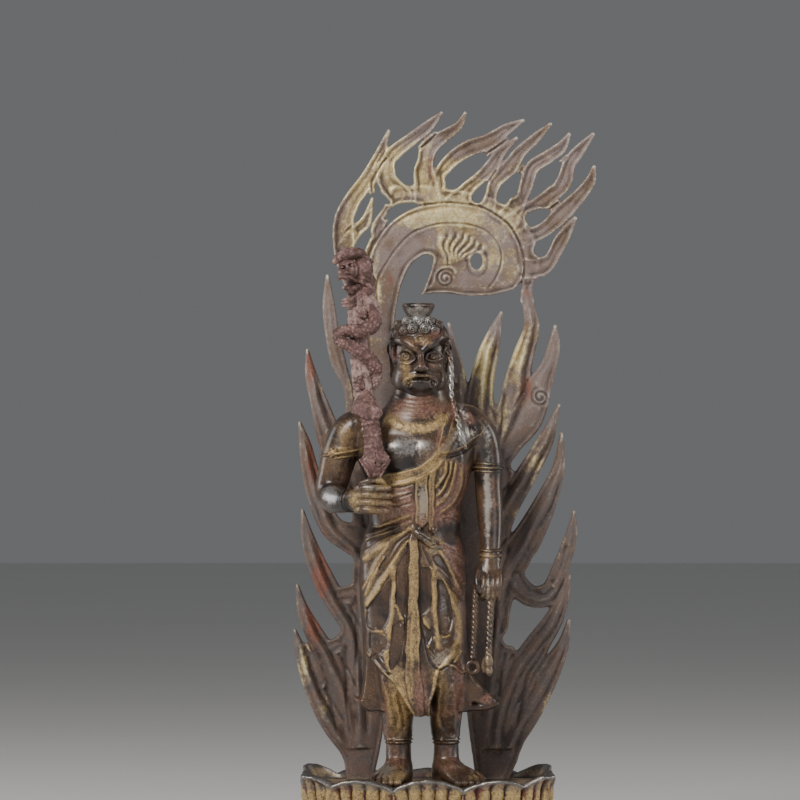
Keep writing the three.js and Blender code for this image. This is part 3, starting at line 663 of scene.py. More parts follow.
# Drop-shaped holes between the crest tongues, from the round end to the pointed end.
HOLES = [
    [(-18.6, 490.5, 7.4), (-12.5, 498, 5), (-8.4, 504, 1.4)],
    [(19.6, 480, 5.4), (32, 488, 6.2), (41, 495, 4.4), (45.5, 499.5, 1.6)],
    [(39.8, 465.5, 4.3), (43, 471, 3.6), (46.5, 477, 1.2)],
    [(66, 471.5, 6), (69, 478, 4.6), (72.5, 484, 1.4)],
    [(95.4, 482, 7.2), (101, 488, 4.8), (105.6, 492.4, 1.4)],
    [(83.8, 448.8, 5.4), (90, 452.4, 4), (96.4, 455.4, 1.2)],
    [(90.6, 424, 5.4), (95, 429, 4), (99.6, 434, 1.2)],
    [(-33.5, 449, 0.8), (-26, 453.5, 5), (-14, 458, 3.6), (-6, 459.2, 0.8)],
    [(-56, 426, 4), (-53, 431, 5.6), (-48.6, 435.6, 3.6)],
    [(-54, 452, 2.4), (-48.6, 460, 4.4), (-39.6, 465.6, 4), (-31.5, 462, 1.6)],
]
# Rounded pockets of the lower tongues and the webs that close them underneath.
POCKETS = [
    [(-75, 120.6, 5.4), (-81, 130, 4.8), (-88, 144, 3.4)],
    [(66, 113, 5.6), (75, 124, 7), (80, 134, 4.4)],
    [(88, 165, 6.6), (90, 174, 7)],
]
WEBS = [
    [(-72, 147, 6), (-60, 149, 7.5)],
    [(-80, 104, 6.5), (-72, 108, 6)],
    [(-98, 106, 3.2), (-93, 96, 5.2), (-86, 80, 6.5)],
    [(58, 240, 5), (66, 246, 2.4)],
]
# Where the tips of two crest tongues touch, a web joins them under a sunk seam.
SEAMS = [
    [(-8.6, 502, 2.4), (-1, 509, 2.8), (6, 516, 2.0)],
    [(45, 499, 2.2), (55, 506, 2.2), (63, 512, 1.6)],
    [(46, 475, 2.2), (50, 481, 2.2), (54.5, 487, 1.6)],
    [(72, 483, 2.0), (76, 490, 1.6)],
    [(105, 492, 2.0), (111, 498, 1.6)],
    [(96, 455.6, 2.2), (104, 462, 2.0)],
    [(-33, 497, 2.0), (-39, 489, 2.4), (-44.6, 477, 2.8), (-44, 468, 2.4)],
]
CURL_OUTSIDE = [(-46, 300), (-50, 345), (-52, 385), (-48, 412), (-38, 436), (-18, 454), (5, 460.5),
    (24, 461), (45, 456.5), (64, 443), (75, 423), (76, 405), (71, 394), (55, 388.4), (33, 387), (12, 389.4),
    (-5, 388)]
CURL_INSIDE = [(-5, 388), (-1, 398), (3, 409), (4, 418), (-2, 420), (-12, 413), (-20, 398), (-24.6, 378),
    (-26, 358), (-28, 300)]
INNER_LINE = [(-40.3, 372), (-40.3, 398.3), (-31.7, 415.6), (-21.3, 429.5), (-7.4, 439.9), (11.7, 445.1),
    (32.5, 444.3), (48.1, 438.2), (57.7, 426), (58.5, 413.9), (53.3, 400), (46.4, 391.4)]
OUTER_LINE = [(-34, 447), (-22, 455.5), (-5.7, 460), (16.9, 460.6), (34, 459.4), (49.1, 454.8), (63, 445.6),
    (71.7, 433), (75.4, 415.6), (73.2, 400), (69.9, 392)]
EYE_OF_CURL = (14.3, 400.9)
SCROLLS = [(89.8, 306.4, 8.4), (-77.2, 274.4, 4.6)]
LONG_RIDGES = [
    [(-53, 22), (-56, 74), (-62, 121), (-76, 144), (-88, 172), (-98, 208)],
    [(-61, 22), (-67, 67), (-80, 97), (-93, 121), (-102, 150)],
    [(-64, 23), (-78, 46), (-93, 78), (-102, 104), (-105.6, 117)],
    [(44, 20), (53, 95), (62, 157), (80, 194), (97, 226), (106, 251), (107, 270)],
    [(51, 16), (59, 56), (70, 84), (85, 106), (101, 129), (111, 157)],
    [(59, 16), (72, 41), (87, 67), (101, 93), (112, 123)],
    [(-48, 150), (-58, 183), (-76, 200), (-88, 228), (-94, 249), (-101, 280)],
    [(46, 150), (51, 183), (61, 215), (78, 243), (94, 271), (104, 296)],
    [(-52, 190), (-66, 240), (-79, 273), (-90, 310), (-95, 338)],
    [(48, 214), (54, 262), (70, 300), (74, 330), (81, 361), (80, 388)],
    [(44, 214), (44, 262), (43, 305), (47, 335), (57, 368)],
]
# Sunk lines where one leaf of the flames lies over the next.
LEAF_LINES = [
    [(-96.5, 118), (-91.6, 104.4), (-82, 83.5), (-77.2, 61), (-71, 34)],
    [(84.5, 153), (93.6, 149.6), (100.5, 155)],
    [(96, 109), (89, 96), (80, 84), (76, 66), (70, 40)],
    [(63, 104), (59, 88), (57, 66)],
    [(98, 158), (103, 163), (108, 176), (112, 190)],
    [(-58, 150), (-56, 120), (-58, 80), (-56, 40)],
    [(-66, 112), (-65, 84), (-64, 56), (-61, 34)],
    [(-46, 146), (-45, 110), (-48, 70), (-48, 34)],
    [(66, 190), (60, 168), (54, 140), (52, 110)],
    [(-62, 235), (-54, 222), (-49, 200)],
    [(56, 330), (60, 312), (60, 296), (56, 270)],
]
# Soft patches of gold and of red: x, height, half width, half height, strength.
HALO_GOLD = [
    (44, 343, 7, 28, 0.9), (72, 345, 6, 26, 1.0), (-87, 322, 5, 14, 0.6), (30, 330, 8, 30, 0.6),
    (-58, 445, 16, 60, 0.9), (-20, 490, 36, 30, 1.0), (22, 476, 40, 22, 0.8), (10, 450, 44, 12, 0.9),
    (-44, 388, 9, 34, 0.9), (24, 420, 30, 22, 0.8), (66, 452, 22, 30, 0.5), (92, 500, 26, 24, 0.4),
    (60, 410, 16, 16, 0.6), (110, 470, 20, 24, 0.3), (50, 318, 14, 36, 0.55), (78, 330, 12, 40, 0.4),
    (-30, 330, 12, 30, 0.4), (86, 250, 9, 30, 0.7), (103, 190, 8, 26, 0.6), (60, 290, 8, 40, 0.5),
    (97, 56, 7, 30, 0.6), (-62, 320, 5, 60, 0.4), (70, 210, 9, 24, 0.5), (-98, 96, 7, 30, 0.9),
    (-82, 60, 6, 26, 0.6), (-70, 300, 20, 40, 0.2),
]
HALO_RED = [
    (-92, 336, 5, 18, 1.0), (-92, 262, 6, 26, 0.9), (79, 314, 7, 12, 0.8), (-30, 400, 7, 12, 0.7),
    (-104, 300, 6, 18, 0.6), (4, 488, 4.2, 14, 1.1), (-10, 466, 8, 4, 0.5), (24, 528, 5, 6, 0.7),
    (-34, 436, 9, 6, 0.5), (-58, 420, 8, 10, 0.4), (79, 390, 4, 8, 0.9), (98, 444, 12, 7, 0.4),
    (-84, 260, 16, 40, 0.35), (-84, 172, 10, 40, 0.9), (-92, 128, 8, 30, 0.9), (-70, 90, 18, 40, 0.35),
    (96, 190, 16, 40, 0.3), (70, 130, 20, 50, 0.3), (84, 300, 16, 24, 0.3), (-96, 330, 8, 20, 0.4),
    (60, 240, 18, 40, 0.25),
]


def plate_y(z):
    """The halo leans a little: how far back its middle lies at each height."""
    return 48 - 0.02 * z


def spiral(centre, radius, turns, start=90.0, end_share=0.12, count=18):
    """Knots of a spiral from its outside to its eye."""
    t = np.linspace(0, 1, count)
    angle = np.radians(start) + turns * 2 * math.pi * t
    reach = radius * (1 - (1 - end_share) * t)
    return [(centre[0] + math.cos(a) * r, centre[1] + math.sin(a) * r)
            for a, r in zip(angle, reach)]


def halo_boards(sizes):
    """Outline distance, front height and back height of the halo over x and z."""
    outline, front, back = (Sheet(*HALO_BOARD, sizes.cell) for _ in range(3))
    outline.value[:] = FAR

    def join(row, margin, blend):
        cut, away, _, (wide,) = outline.near(row, margin)
        outline.value[cut] = soft_min(outline.value[cut], away - wide, blend)
        return cut, away, wide

    def pierce(row, margin, blend):
        cut, away, _, (wide,) = outline.near(row, margin)
        outline.value[cut] = soft_max(outline.value[cut], wide - away, blend)
        return cut, away, wide

    strokes = ([(row, 0.0, 0.0) for row in BODY_MASSES]
               + [(row, 0.0, 1.0) for row in SIDE_TONGUES]
               + [(MANE, 0.6, 0.0), (LINK, 0.3, 0.0)]
               + [(row, 1.0, 1.0) for row in CREST_TONGUES])
    # A tongue's face is a roof, or where dished a bowl between raised edges. A seamed one
    # is set off by a groove from the flames that it lies over.
    for row, dished, seamed in strokes:
        cut, away, share, (wide,) = outline.near(row, 26)
        edge = away - wide * 1.04
        before = outline.value[cut].copy()
        outline.value[cut] = soft_min(before, edge, 4.0)
        q = np.clip(away / np.maximum(wide, 0.8), 0, 1.6)
        thick = np.minimum(1.5 + 0.4 * wide, 5.4)
        roof = 1 - 0.6 * np.minimum(q, 1) ** 1.5 - 0.9 * np.maximum(q - 1, 0)
        bowl = 0.58 + 0.42 * np.minimum(q, 1) ** 2.6 - 0.9 * np.maximum(q - 1, 0)
        own = thick * (roof * (1 - dished) + bowl * dished)
        root = step(0.1, 0.4, share)
        lap = seamed * root * bump(edge - 0.8, 0.9) * step(0.5, 2.5, -before)
        front.value[cut] = soft_max(front.value[cut], own + 0.3 * seamed * root, 0.7) - 1.7 * lap
    front.value = np.maximum(front.value, 1.5)
    for row in WEBS:
        cut, away, wide = join(row, 14, 3.0)
        front.value[cut] = soft_max(front.value[cut], 3.2 - 0.7 * np.maximum(away - wide, 0), 0.8)
    for row in POCKETS:
        pierce(row, 16, 2.0)
    for row in SEAMS:
        cut, away, wide = join(row, 12, 1.5)
        front.value[cut] = soft_max(front.value[cut], 3.4 - 0.5 * away, 0.6) - 2.2 * bump(away, 0.75)
    for row in HOLES:
        cut, away, wide = pierce(row, 14, 1.4)
        front.value[cut] += 0.5 * bump(away - wide - 1.2, 1.1)
    join(CREST_TONGUES[1], 14, 1.0)

    # The curl is a flat band laid over the crest, with engraved lines, locks and a spiral beak.
    outside = smooth([(x, z, 0) for x, z in CURL_OUTSIDE], 70)[:, :2]
    inside = smooth([(x, z, 0) for x, z in CURL_INSIDE], 40)[:, :2]
    loop = np.vstack([outside, inside[1:]])
    cut = outline.window(loop, 8)
    curl = outline.inside(loop, cut)
    outline.value[cut] = soft_min(outline.value[cut], curl, 2.0)
    low_end = step(318, 372, outline.axes(cut)[1])
    face = 4.4 - 0.5 * bump(curl + 2.6, 1.3) + 0.35 * bump(curl + 1.0, 0.8)
    lies = 1 - step(-0.6, 0.3, curl)
    front.value[cut] = (front.value[cut] * (1 - lies * low_end)
                        + np.maximum(face, front.value[cut] * 0.4) * lies * low_end
                        - 1.3 * bump(curl - 0.7, 0.7) * low_end)
    x, z = outline.axes()
    hole = np.hypot((x - 39.1) / 4.6, (z - 414.8) / 6.4)
    outline.value = soft_max(outline.value, (1 - hole) * 5.2, 0.6).astype(np.float32)

    front.line(INNER_LINE, 0.75, -1.2, 0.04, 60)
    front.line([(x0 + 1.2, z0 - 1.2) for x0, z0 in INNER_LINE[1:]], 0.9, 0.5, 0.04, 60)
    front.line(OUTER_LINE, 0.7, -1.0, 0.04, 60)
    for i in range(13):
        rows = []
        for t in np.linspace(0, 1, 8):
            low, high = 13 + 1.5 * i, 11 + 3.2 * i
            sway = 1.7 * math.sin(7.4 * t + 0.35 * i)
            foot, crown = 411 + 0.4 * i, 439.5 - 0.017 * (high - 22) ** 2
            rows.append((low + (high - low) * t + sway, foot + (crown - foot) * t,
                         0.9 + 0.6 * t))
        front.line(rows, 1.9 if i % 2 == 0 else 1.1, 1.5 if i % 2 == 0 else -1.3, 0.2, 30)
    beak = [(-4.5, 389.6), (0, 393), (4, 397), (6.4, 404), (12, 409.6), (20, 409), (24, 403)]
    front.line(beak, 1.1, 1.2, 0.1, 30)
    for centre, radius in ((EYE_OF_CURL, 7.4), *(((sx, sz), r) for sx, sz, r in SCROLLS)):
        cut = front.window(np.array([[centre[0], centre[1]]]), radius * 1.6)
        px, pz = front.axes(cut)
        away = np.hypot(px - centre[0], pz - centre[1])
        front.value[cut] = soft_max(front.value[cut], 5.2 - 1.4 * (away / radius) ** 2, 0.6)
        front.line(spiral(centre, radius * 0.94, 1.9), 0.09 * radius + 0.35, -1.25, 0.06, 60)
        front.line(spiral(centre, radius * 0.78, 1.6), 0.09 * radius + 0.3, 0.5, 0.1, 60)

    for row in LONG_RIDGES:
        front.line(row, 2.8, 1.9, 0.14, 40)
        front.line([(a + 4.6, b) for a, b in row], 2.2, -1.2, 0.2, 40)
    for row in LEAF_LINES:
        front.line(row, 1.5, -1.5, 0.1, 40)
    # A slim raised bead follows every edge, and the plain feet step back under the flames.
    front.value += 0.6 * bump(outline.value + 1.3, 1.1) - 0.5 * bump(outline.value + 3.6, 1.8)
    feet = 1 - step(24.4, 25.6, z)
    front.value = front.value * (1 - feet) + np.minimum(front.value, 3.4) * feet
    back.value = np.clip(1.6 + 0.34 * np.clip(-outline.value, 0, 9), 1.6, 4.4)
    front.waver(8, 9, 0.5)
    front.value = front.value + 0.3 * wander(3, 20, x, z) + 0.22 * wander(4, 6, x, z)
    back.value = back.value + 0.35 * wander(6, 20, x, z) + 0.2 * wander(7, 7, x, z)
    front.value = np.clip(front.value, 1.3, 7.0)
    return outline, front, back


def sculpt_halo(sizes):
    outline, front, back = halo_boards(sizes)
    clay = Clay((-110, 30, -1), (137, 55, 537), sizes.cell)
    x, y, z = clay.axes()
    edge = outline.over(x, z)
    ahead, behind = front.over(x, z), back.over(x, z)
    depth = y - plate_y(z)
    half = np.where(depth < 0, ahead, behind)
    round_off = np.minimum(2.0, 0.9 * np.minimum(ahead, behind))
    out = edge + round_off
    over = np.abs(depth) - half + round_off
    field = (np.hypot(np.maximum(out, 0), np.maximum(over, 0))
             + np.minimum(np.maximum(out, over), 0) - round_off)
    clay.field = np.maximum(field, np.maximum(CLEAR - z, x - RIGHT_TIP)).astype(np.float32)
    return clay


# Lotus plinth: fat ribbed petals flare from a low stepped base up to rolled silvery rims.

# Half width and half depth of the top plate.
HALF_WIDTH, HALF_DEPTH = 96.0, 74.0
# Heights of the lotus's foot and of the plinth's underside.
LOTUS, UNDERSIDE = -46.0, -69.99
# Width of one petal, and the ribs in it.
PITCH = 54.0
RIBS = 5


def petal_map(x, y):
    """Distance outside the plate's edge, run along the side, petal wave and corner share."""
    u, v = np.abs(x / HALF_WIDTH), np.abs(y / HALF_DEPTH)
    reach = (u**8 + v**8 + 1e-9) ** (1 / 8)
    along_x = v > u
    across = (reach - 1) * np.where(along_x, HALF_DEPTH, HALF_WIDTH)
    run = np.where(along_x, x / np.maximum(v, 0.2), y / np.maximum(u, 0.2))
    corner = step(0.66, 0.92, np.minimum(u, v) / np.maximum(np.maximum(u, v), 1e-6))
    wave = np.abs(np.cos(math.pi * run / PITCH)) ** 0.75
    return across, run, np.maximum(wave * (1 - corner), corner), corner


def petal_tip(wave, corner):
    """Height of the rim above the plate: 0 in the valleys, highest on the corner petals."""
    return 8.2 * wave + 3.4 * corner


def sculpt_plinth(sizes):
    clay = Clay((-103, -82, -71), (103, 82, 14), sizes.cell)
    x, y, z = clay.axes()
    across, run, wave, corner = petal_map(x[:, :, 0], y[:, :, 0])
    # Ribs fan out within each petal, and run diagonally in the corner petals.
    middle = np.round(run / PITCH) * PITCH
    slant = np.abs(x[:, :, 0]) - HALF_WIDTH - np.abs(y[:, :, 0]) + HALF_DEPTH
    valley = bump(np.abs(run - middle) - PITCH / 2, 3.4) * (1 - corner)
    tip = petal_tip(wave, corner)
    lumps = 0.35 * wander(31, 12, x, y, z) + 0.16 * wander(32, 4, x, y, z)
    field = np.empty(clay.count, np.float32)
    for k, height in enumerate(z.ravel()):
        share = float(np.clip((height - LOTUS) / -LOTUS, 0, 1.3))
        full = min(share, 1.0)
        fan = 0.72 + 0.28 * full
        rib_run = (run - middle) / fan * (1 - corner) + corner * slant / (fan * 1.25)
        ribs = np.abs(np.cos(math.pi * RIBS * rib_run / PITCH)) ** 0.85
        swell = (1.2 + 2.6 * wave) * math.sin(math.pi * full)
        body = -25.0 * (1 - full) ** 1.7 + swell + (0.4 + 2.2 * wave + 2.0 * corner) * share**2
        lip = bump(height - tip + 1.9, 2.4)
        deep = (1 - lip) * (3.9 * ribs - 3.1 + 2.2 * valley)
        wall = across - body - float(step(0.02, 0.22, share)) * deep - 1.5 * lip
        petal = soft_max(wall, height - tip, 2.2)
        # Above the plate only the rolled rim of each petal stands.
        inner = body - 5.6 + 0.35 * max(height, 0.0)
        petal = soft_max(petal, soft_min(height, inner - across, 1.2), 1.0)
        petal = soft_max(petal, LOTUS - height, 1.0)
        # The stepped base: a broad foot under a narrower neck.
        foot = np.maximum(across + 5.4, max(UNDERSIDE - height, height + 56))
        neck = across + 12.4 + 3 * float(step(-58, -46, height))
        neck = np.maximum(neck, max(-60 - height, height + 42))
        field[:, :, k] = soft_min(petal, soft_min(foot, neck, 1.5), 1.0)
    clay.field = np.maximum(field - lumps * step(LOTUS, LOTUS + 6, z), UNDERSIDE - z).astype(np.float32)
    return clay


# Studio: the floor's corners, the camera and what the lights look at, in metres.

FLOOR = [(-6, -6, 0), (6, -6, 0), (6, 9, 0), (-6, 9, 0)]
CAMERA_PLACE = (-0.022, -4.752, 0.374)
LENS_MM, SENSOR_MM = 270, 36
LIT_POINT = Vector((0.0, 0.0, 0.32))
SKY_COLOUR = (0.9, 0.92, 0.95, 1)
# Softboxes: name, place, width and height, which power they take, and colour.
SOFTBOXES = [
    ("key", (-1.2, -1.9, 1.75), (0.9, 0.9), "key", (1.0, 0.965, 0.92)),
    ("fill", (1.7, -1.7, 0.9), (1.2, 1.2), "fill", (0.94, 0.97, 1.0)),
    ("rim_left", (-1.9, 0.5, 0.7), (0.5, 1.3), "rim", (0.95, 0.97, 1.0)),
    ("rim_right", (1.9, 0.4, 0.8), (0.5, 1.3), "rim", (1.0, 0.97, 0.93)),
]


def softbox(name, place, size, power, glow):
    """An oblong soft light that looks at the figure."""
    light = bpy.data.lights.new(name, "AREA")
    light.shape = "RECTANGLE"
    light.size, light.size_y = size
    light.energy = power
    light.color = glow
    lamp = bpy.data.objects.new(name, light)
    bpy.context.scene.collection.objects.link(lamp)
    lamp.location = place
    lamp.rotation_euler = (LIT_POINT - lamp.location).to_track_quat("-Z", "Y").to_euler()


# The figure. Its middle stands at MIDDLE_X, and its face looks towards the front (-y).

MIDDLE_X, MIDDLE_Y = -9.0, -10.0
HEAD_X, HEAD_Y = -6.8, -6.0
# The relief of the front fades out over this depth before the middle.
PRESSED = 8


class Cloth:
    """Front relief of cloth and skin, with the gold, red and rubbed metal that show on it, and painted
    highlights.
    """

    def __init__(self, low, high, cell=0.45):
        self.rise, self.gold, self.red, self.bare = (Sheet(low, high, cell) for _ in range(4))

    def fold(self, knots, width, rise, gold=0.0, ends=0.12):
        """A rounded ridge or groove, with or without gold on it."""
        count = 10 + 6 * len(knots)
        self.rise.line(knots, width, rise, ends, count)
        if gold:
            self.gold.line(knots, width * 1.15, gold, ends, count)

    def folds(self, *rows):
        for row in rows:
            self.fold(*row)

    def strip(self, knots, margin, rise, soft, gold):
        """A flat strip with crisp edges, along knots of x, z and half width."""
        cut, away, _, (wide,) = self.rise.near(knots, margin, 12 + 6 * len(knots))
        flat = 1 - step(-soft, soft, away - wide)
        self.rise.value[cut] += rise * flat
        if gold:
            self.gold.value[cut] = np.maximum(self.gold.value[cut], gold * flat)

    def leaf(self, corners, rise, gold=0.0, soft=0.5, count=None):
        self.rise.panel(corners, rise, soft, count)
        if gold:
            self.gold.panel(corners, gold, soft, count)

    def waver(self, seed, size, reach):
        for board in (self.rise, self.gold, self.red, self.bare):
            board.waver(seed, size, reach)

    def dab(self, marks):
        """Soft patches of gold, of red, or of rubbed metal with painted highlights: x, height, half width,
        half height, strength.
        """
        for mark, dabs in marks.items():
            board = getattr(self, mark)
            across, up = board.axes()
            for x, z, wide, tall, value in dabs:
                board.value += value * bump(np.hypot((across - x) / wide, (up - z) / tall), 1.0)


def press(clay, sheet):
    """Move the clay's front out by the sheet's heights; its back stays as it is."""
    x, y, z = clay.axes()
    clay.field -= sheet.over(x, z) * (1 - step(MIDDLE_Y - PRESSED, MIDDLE_Y, y)).astype(np.float32)


def hoop(centre, wide, deep, front_z, side_z, thick, flat=None, start=0.0, end=360.0, count=20):
    """Knots of a ring about an upright body, sagging from its sides to its front."""
    rows = []
    for angle in np.radians(np.linspace(start, end, count)):
        sag = 0.5 + 0.5 * math.cos(angle)
        rows.append((centre[0] + wide * math.sin(angle), centre[1] - deep * math.cos(angle),
                     side_z + (front_z - side_z) * (2 * sag - 1 if sag > 0.5 else 0),
                     thick, flat or thick))
    return rows


def sculpt_head(sizes):
    clay = Clay((-42, -46, 294), (34, 24, 386), sizes.head_cell)
    add, carve = clay.add, clay.carve
    add(ball((HEAD_X, HEAD_Y, 346), (21.4, 23.4, 24)), 0)
    add(ball((-6.4, -9, 330), (19.2, 20.6, 27.4)), 4)
    add(post([(292, -8, -7, 17, 15), (306, -8, -7, 16, 15), (322, -8, -6, 15, 14)]), 3)
    add(ball((-6.6, -11, 320), (21.6, 18.4, 16.4)), 4)
    for side in (-1, 1):
        add(ball((-6 + 10.6 * side, -24.6, 330.5), (6, 4.6, 5)), 3)
    add(ball((-5.8, -21.6, 310.6), (10.4, 7.4, 6)), 4)
    add(ball((-6, -23, 350.4), (14, 8.6, 8)), 4)
    # Brows: a heavy frown that overhangs the eyes.
    brows = ([(-25, -20.6, 351, 2.2), (-20, -26.4, 350.6, 3.2), (-14, -30.2, 347.6, 3.6),
              (-9.6, -32, 344.2, 3.2), (-7, -32.8, 341.6, 2)],
             [(-4.4, -32.8, 341.8, 2), (-1.6, -32, 345.2, 3.2), (3, -29.8, 349.4, 3.6),
              (8.4, -26, 352.6, 3.0), (12.6, -21.4, 353.8, 2)])
    for row in brows:
        add(roll(row), 3.4)
    # Eyes: the right one round and staring, the left one narrowed.
    add(ball((-17.2, -24.4, 338.4), (6.2, 4.8, 5)), 1.2)
    add(ball((4.6, -25.2, 338.2), (5.8, 4.4, 3.4)), 1.2)
    carve(roll([(-24, -24.4, 347, 1.1), (-17, -30.6, 344.8, 1.7), (-11.4, -33.4, 340.6, 1.9),
        (-8, -34.2, 338, 1.3)]), 0.8)
    carve(roll([(-3.2, -34.2, 338.2, 1.3), (-0.4, -33.2, 341.2, 1.9), (4.6, -30.6, 345.6, 1.7),
        (11, -24.4, 349.8, 1.1)]), 0.8)
    lids = ([(-24.2, -22.6, 337.4, 0.9), (-21.2, -27.2, 341.8, 1.1), (-17, -29.4, 343.2, 1.2),
             (-12.8, -30.4, 341, 1.1), (-9.8, -30.6, 336.8, 0.9)],
            [(-24, -22.6, 336.6, 0.8), (-20.6, -27.2, 333.6, 1), (-16.4, -29.2, 332.6, 1.1),
             (-12.4, -30.2, 334, 1), (-9.8, -30.6, 336.4, 0.8)],
            [(-1.8, -30.6, 337, 0.9), (0.6, -30, 340.6, 1.3), (4.8, -28.8, 342, 1.7),
             (9, -26, 340.8, 1.4), (12, -22.6, 338, 0.9)],
            [(-1.6, -30.6, 336.4, 0.8), (2.4, -29.6, 334.8, 1), (6.8, -27.8, 335, 1),
             (11.6, -22.8, 337.4, 0.8)])
    for row in lids:
        add(roll(row), 0.5)
    for x, y, z, r in ((-17.4, -29.2, 338.4, 2.5), (4.2, -29.5, 338.2, 1.7)):
        ring = [(x + math.sin(a) * r, y + 0.06 * r, z + math.cos(a) * r, 0.42)
                for a in np.linspace(0, 2 * math.pi, 13)]
        add(roll(ring, 24), 0.3)
        carve(ball((x, y - 0.6, z), 0.7), 0.3)
    # Nose with flared wings, wrinkled at its root.
    add(roll([(-5.7, -31.4, 342.6, 2.3, 2.2), (-5.5, -34.2, 336.4, 2.5, 2.5),
        (-5.4, -37.2, 330.6, 3.5, 3.2)]), 1.8)
    add(ball((-5.4, -37.4, 328.9), (3.9, 3.2, 2.9)), 1.6)
    for side in (-1, 1):
        add(ball((-5.4 + 3.6 * side, -34, 328.4), (2.3, 3.2, 2.5)), 0.9)
        carve(ball((-5.4 + 2.3 * side, -36.8, 325.8), (1.1, 1.6, 1.0)), 0.6)
        carve(roll([(-5.4 + 5.8 * side, -33.4, 331, 0.5), (-5.4 + 7.6 * side, -31.8, 326.6, 0.7),
            (-5.4 + 11.4 * side, -29.4, 323, 0.4)]), 0.8)
        carve(roll([(-5.5 + 2.4 * side, -33.8, 342.2, 0.4), (-5.5, -34.6, 341.2, 0.5),
            (-5.5 - 2.4 * side, -33.8, 342.2, 0.4)]), 0.4)
    # Mouth drawn down at its ends, and the moustache that rolls up in a ring on each side.
    add(ball((-5.5, -28.4, 317.6), (11.5, 5.6, 7)), 3)
    for side in (-1, 1):
        x, z = -5.9 + 9.3 * side, 317.7
        ring = [(x + side * math.sin(a) * 3.2, -32 + abs(math.sin(a) * 0.8), z + math.cos(a) * 3.4,
                 1.5) for a in np.linspace(-0.6, 4.6, 13)]
        add(roll([(-5.6 + 0.4 * side, -35.4, 323.4, 1.5), (-5.6 + 4.6 * side, -35, 323.4, 1.7),
            (-5.6 + 7.6 * side, -33.6, 322.2, 1.7), *ring], 34), 0.5)
        carve(ball((x, -33.4, z), (1.3, 2.6, 1.5)), 0.5)
    carve(roll([(-12, -32, 319.6, 0.5), (-8.6, -34.4, 320.6, 0.9), (-5.5, -35.2, 320.9, 1),
        (-2.4, -34.4, 320.6, 0.9), (0.6, -32, 319.6, 0.5)]), 0.5)
    add(roll([(-9.8, -32.4, 318, 0.7), (-5.5, -34, 318.6, 1.3), (-1.2, -32.4, 318, 0.7)]), 1.2)
    # Forehead: a ring of wrinkled skin over two chevrons.
    ring = [(-6.3 + math.sin(a) * 2.7, -31.4, 352.4 + math.cos(a) * 2.5, 0.55)
            for a in np.linspace(0, 2 * math.pi, 13)]
    add(roll(ring, 24), 0.6)
    for drop, half in ((347.6, 4.4), (344.6, 3.4)):
        carve(roll([(-6.2 - half, -32.4, drop + 2, 0.4), (-6.2, -33.4, drop - 0.4, 0.6),
            (-6.2 + half, -32.4, drop + 2, 0.4)]), 0.4)
    # Ears with long lobes.
    for side in (-1, 1):
        x = HEAD_X + 21.2 * side
        add(ball((x - 2 * side, -5, 335), (3.4, 7, 15)), 2)
        shell = [(x, -9, 350, 1.6, 2.2), (x + 2 * side, -9, 351, 1.6, 2.2),
            (x + 3 * side, -8.4, 345, 1.7, 2.4), (x + 2 * side, -8.6, 338, 1.6, 2.3),
            (x + side, -9.6, 330, 1.9, 2), (x + 0.2 * side, -10.4, 322, 2.2, 1.8),
            (x - 0.4 * side, -10, 317, 1.4, 1.2)]
        add(roll(shell, 20), 0.8)
        add(ball((x + 0.8 * side, -7, 343), (2.6, 2.6, 7)), 1)
        carve(ball((x + 3 * side, -10.4, 344), (1.3, 1.8, 3.4)), 0.6)
    add_hair(clay)
    add_plait(clay, 0, 34)
    clay.field += 0.07 * wander(11, 5, *clay.axes())
    paint = Cloth((-42, 294), (34, 386), 0.6)
    paint.dab(HEAD_MARKS)
    return clay, paint


# Soft patches on the head: x, height, half width, half height, strength. The marks of rubbed metal include a
# painted highlight down the plait.
HEAD_MARKS = {
    "gold": [(-7, 353, 13, 5, 0.45), (-17.6, 329, 6, 9, 1.2), (-15.2, 317.8, 5, 6, 0.8),
        (3.4, 317.8, 5, 6, 0.6), (-5.8, 323, 9, 2.6, 0.7), (-6.6, 348.6, 12, 7, 0.8), (-7, 376, 12, 5, 0.3),
        (-17, 339, 6, 6, 0.5)],
    "red": [(-6.4, 349, 13, 6.4, 0.8), (-29, 338, 3.4, 10, 0.9), (16.4, 336, 4, 16, 0.5),
        (7, 356, 6, 4, 0.7), (-24.6, 341, 3.6, 6, 0.6), (-5.4, 331, 5, 7, 0.5), (4, 332, 5, 4, 0.5),
        (-8, 299, 26, 9, 0.9), (4, 374, 4, 5, 0.8)],
    "bare": [(-7, 361, 24, 11, 0.62), (-8, 374, 14, 9, 0.85), (-6, 309, 8, 5, 0.25),
        (18.4, 316, 3, 34, 0.9), (-17, 338.6, 5, 5, 0.6), (4, 338.6, 5, 4, 0.3), (6, 330, 6, 6, 0.4)],
}


CURLS = [(-27.4, 350, 4.0), (-24.2, 355.8, 4.4), (-18.4, 358.6, 4.5), (-12, 359.8, 4.7), (-2.2, 360.2, 4.8),
    (5, 358.8, 4.6), (10.8, 355.4, 4.3), (14.2, 350, 3.9), (-23.4, 363, 4.0), (-16.6, 365.6, 4.4),
    (-7.6, 366.6, 4.7), (1.4, 365.8, 4.4), (8.4, 362.8, 4.0)]


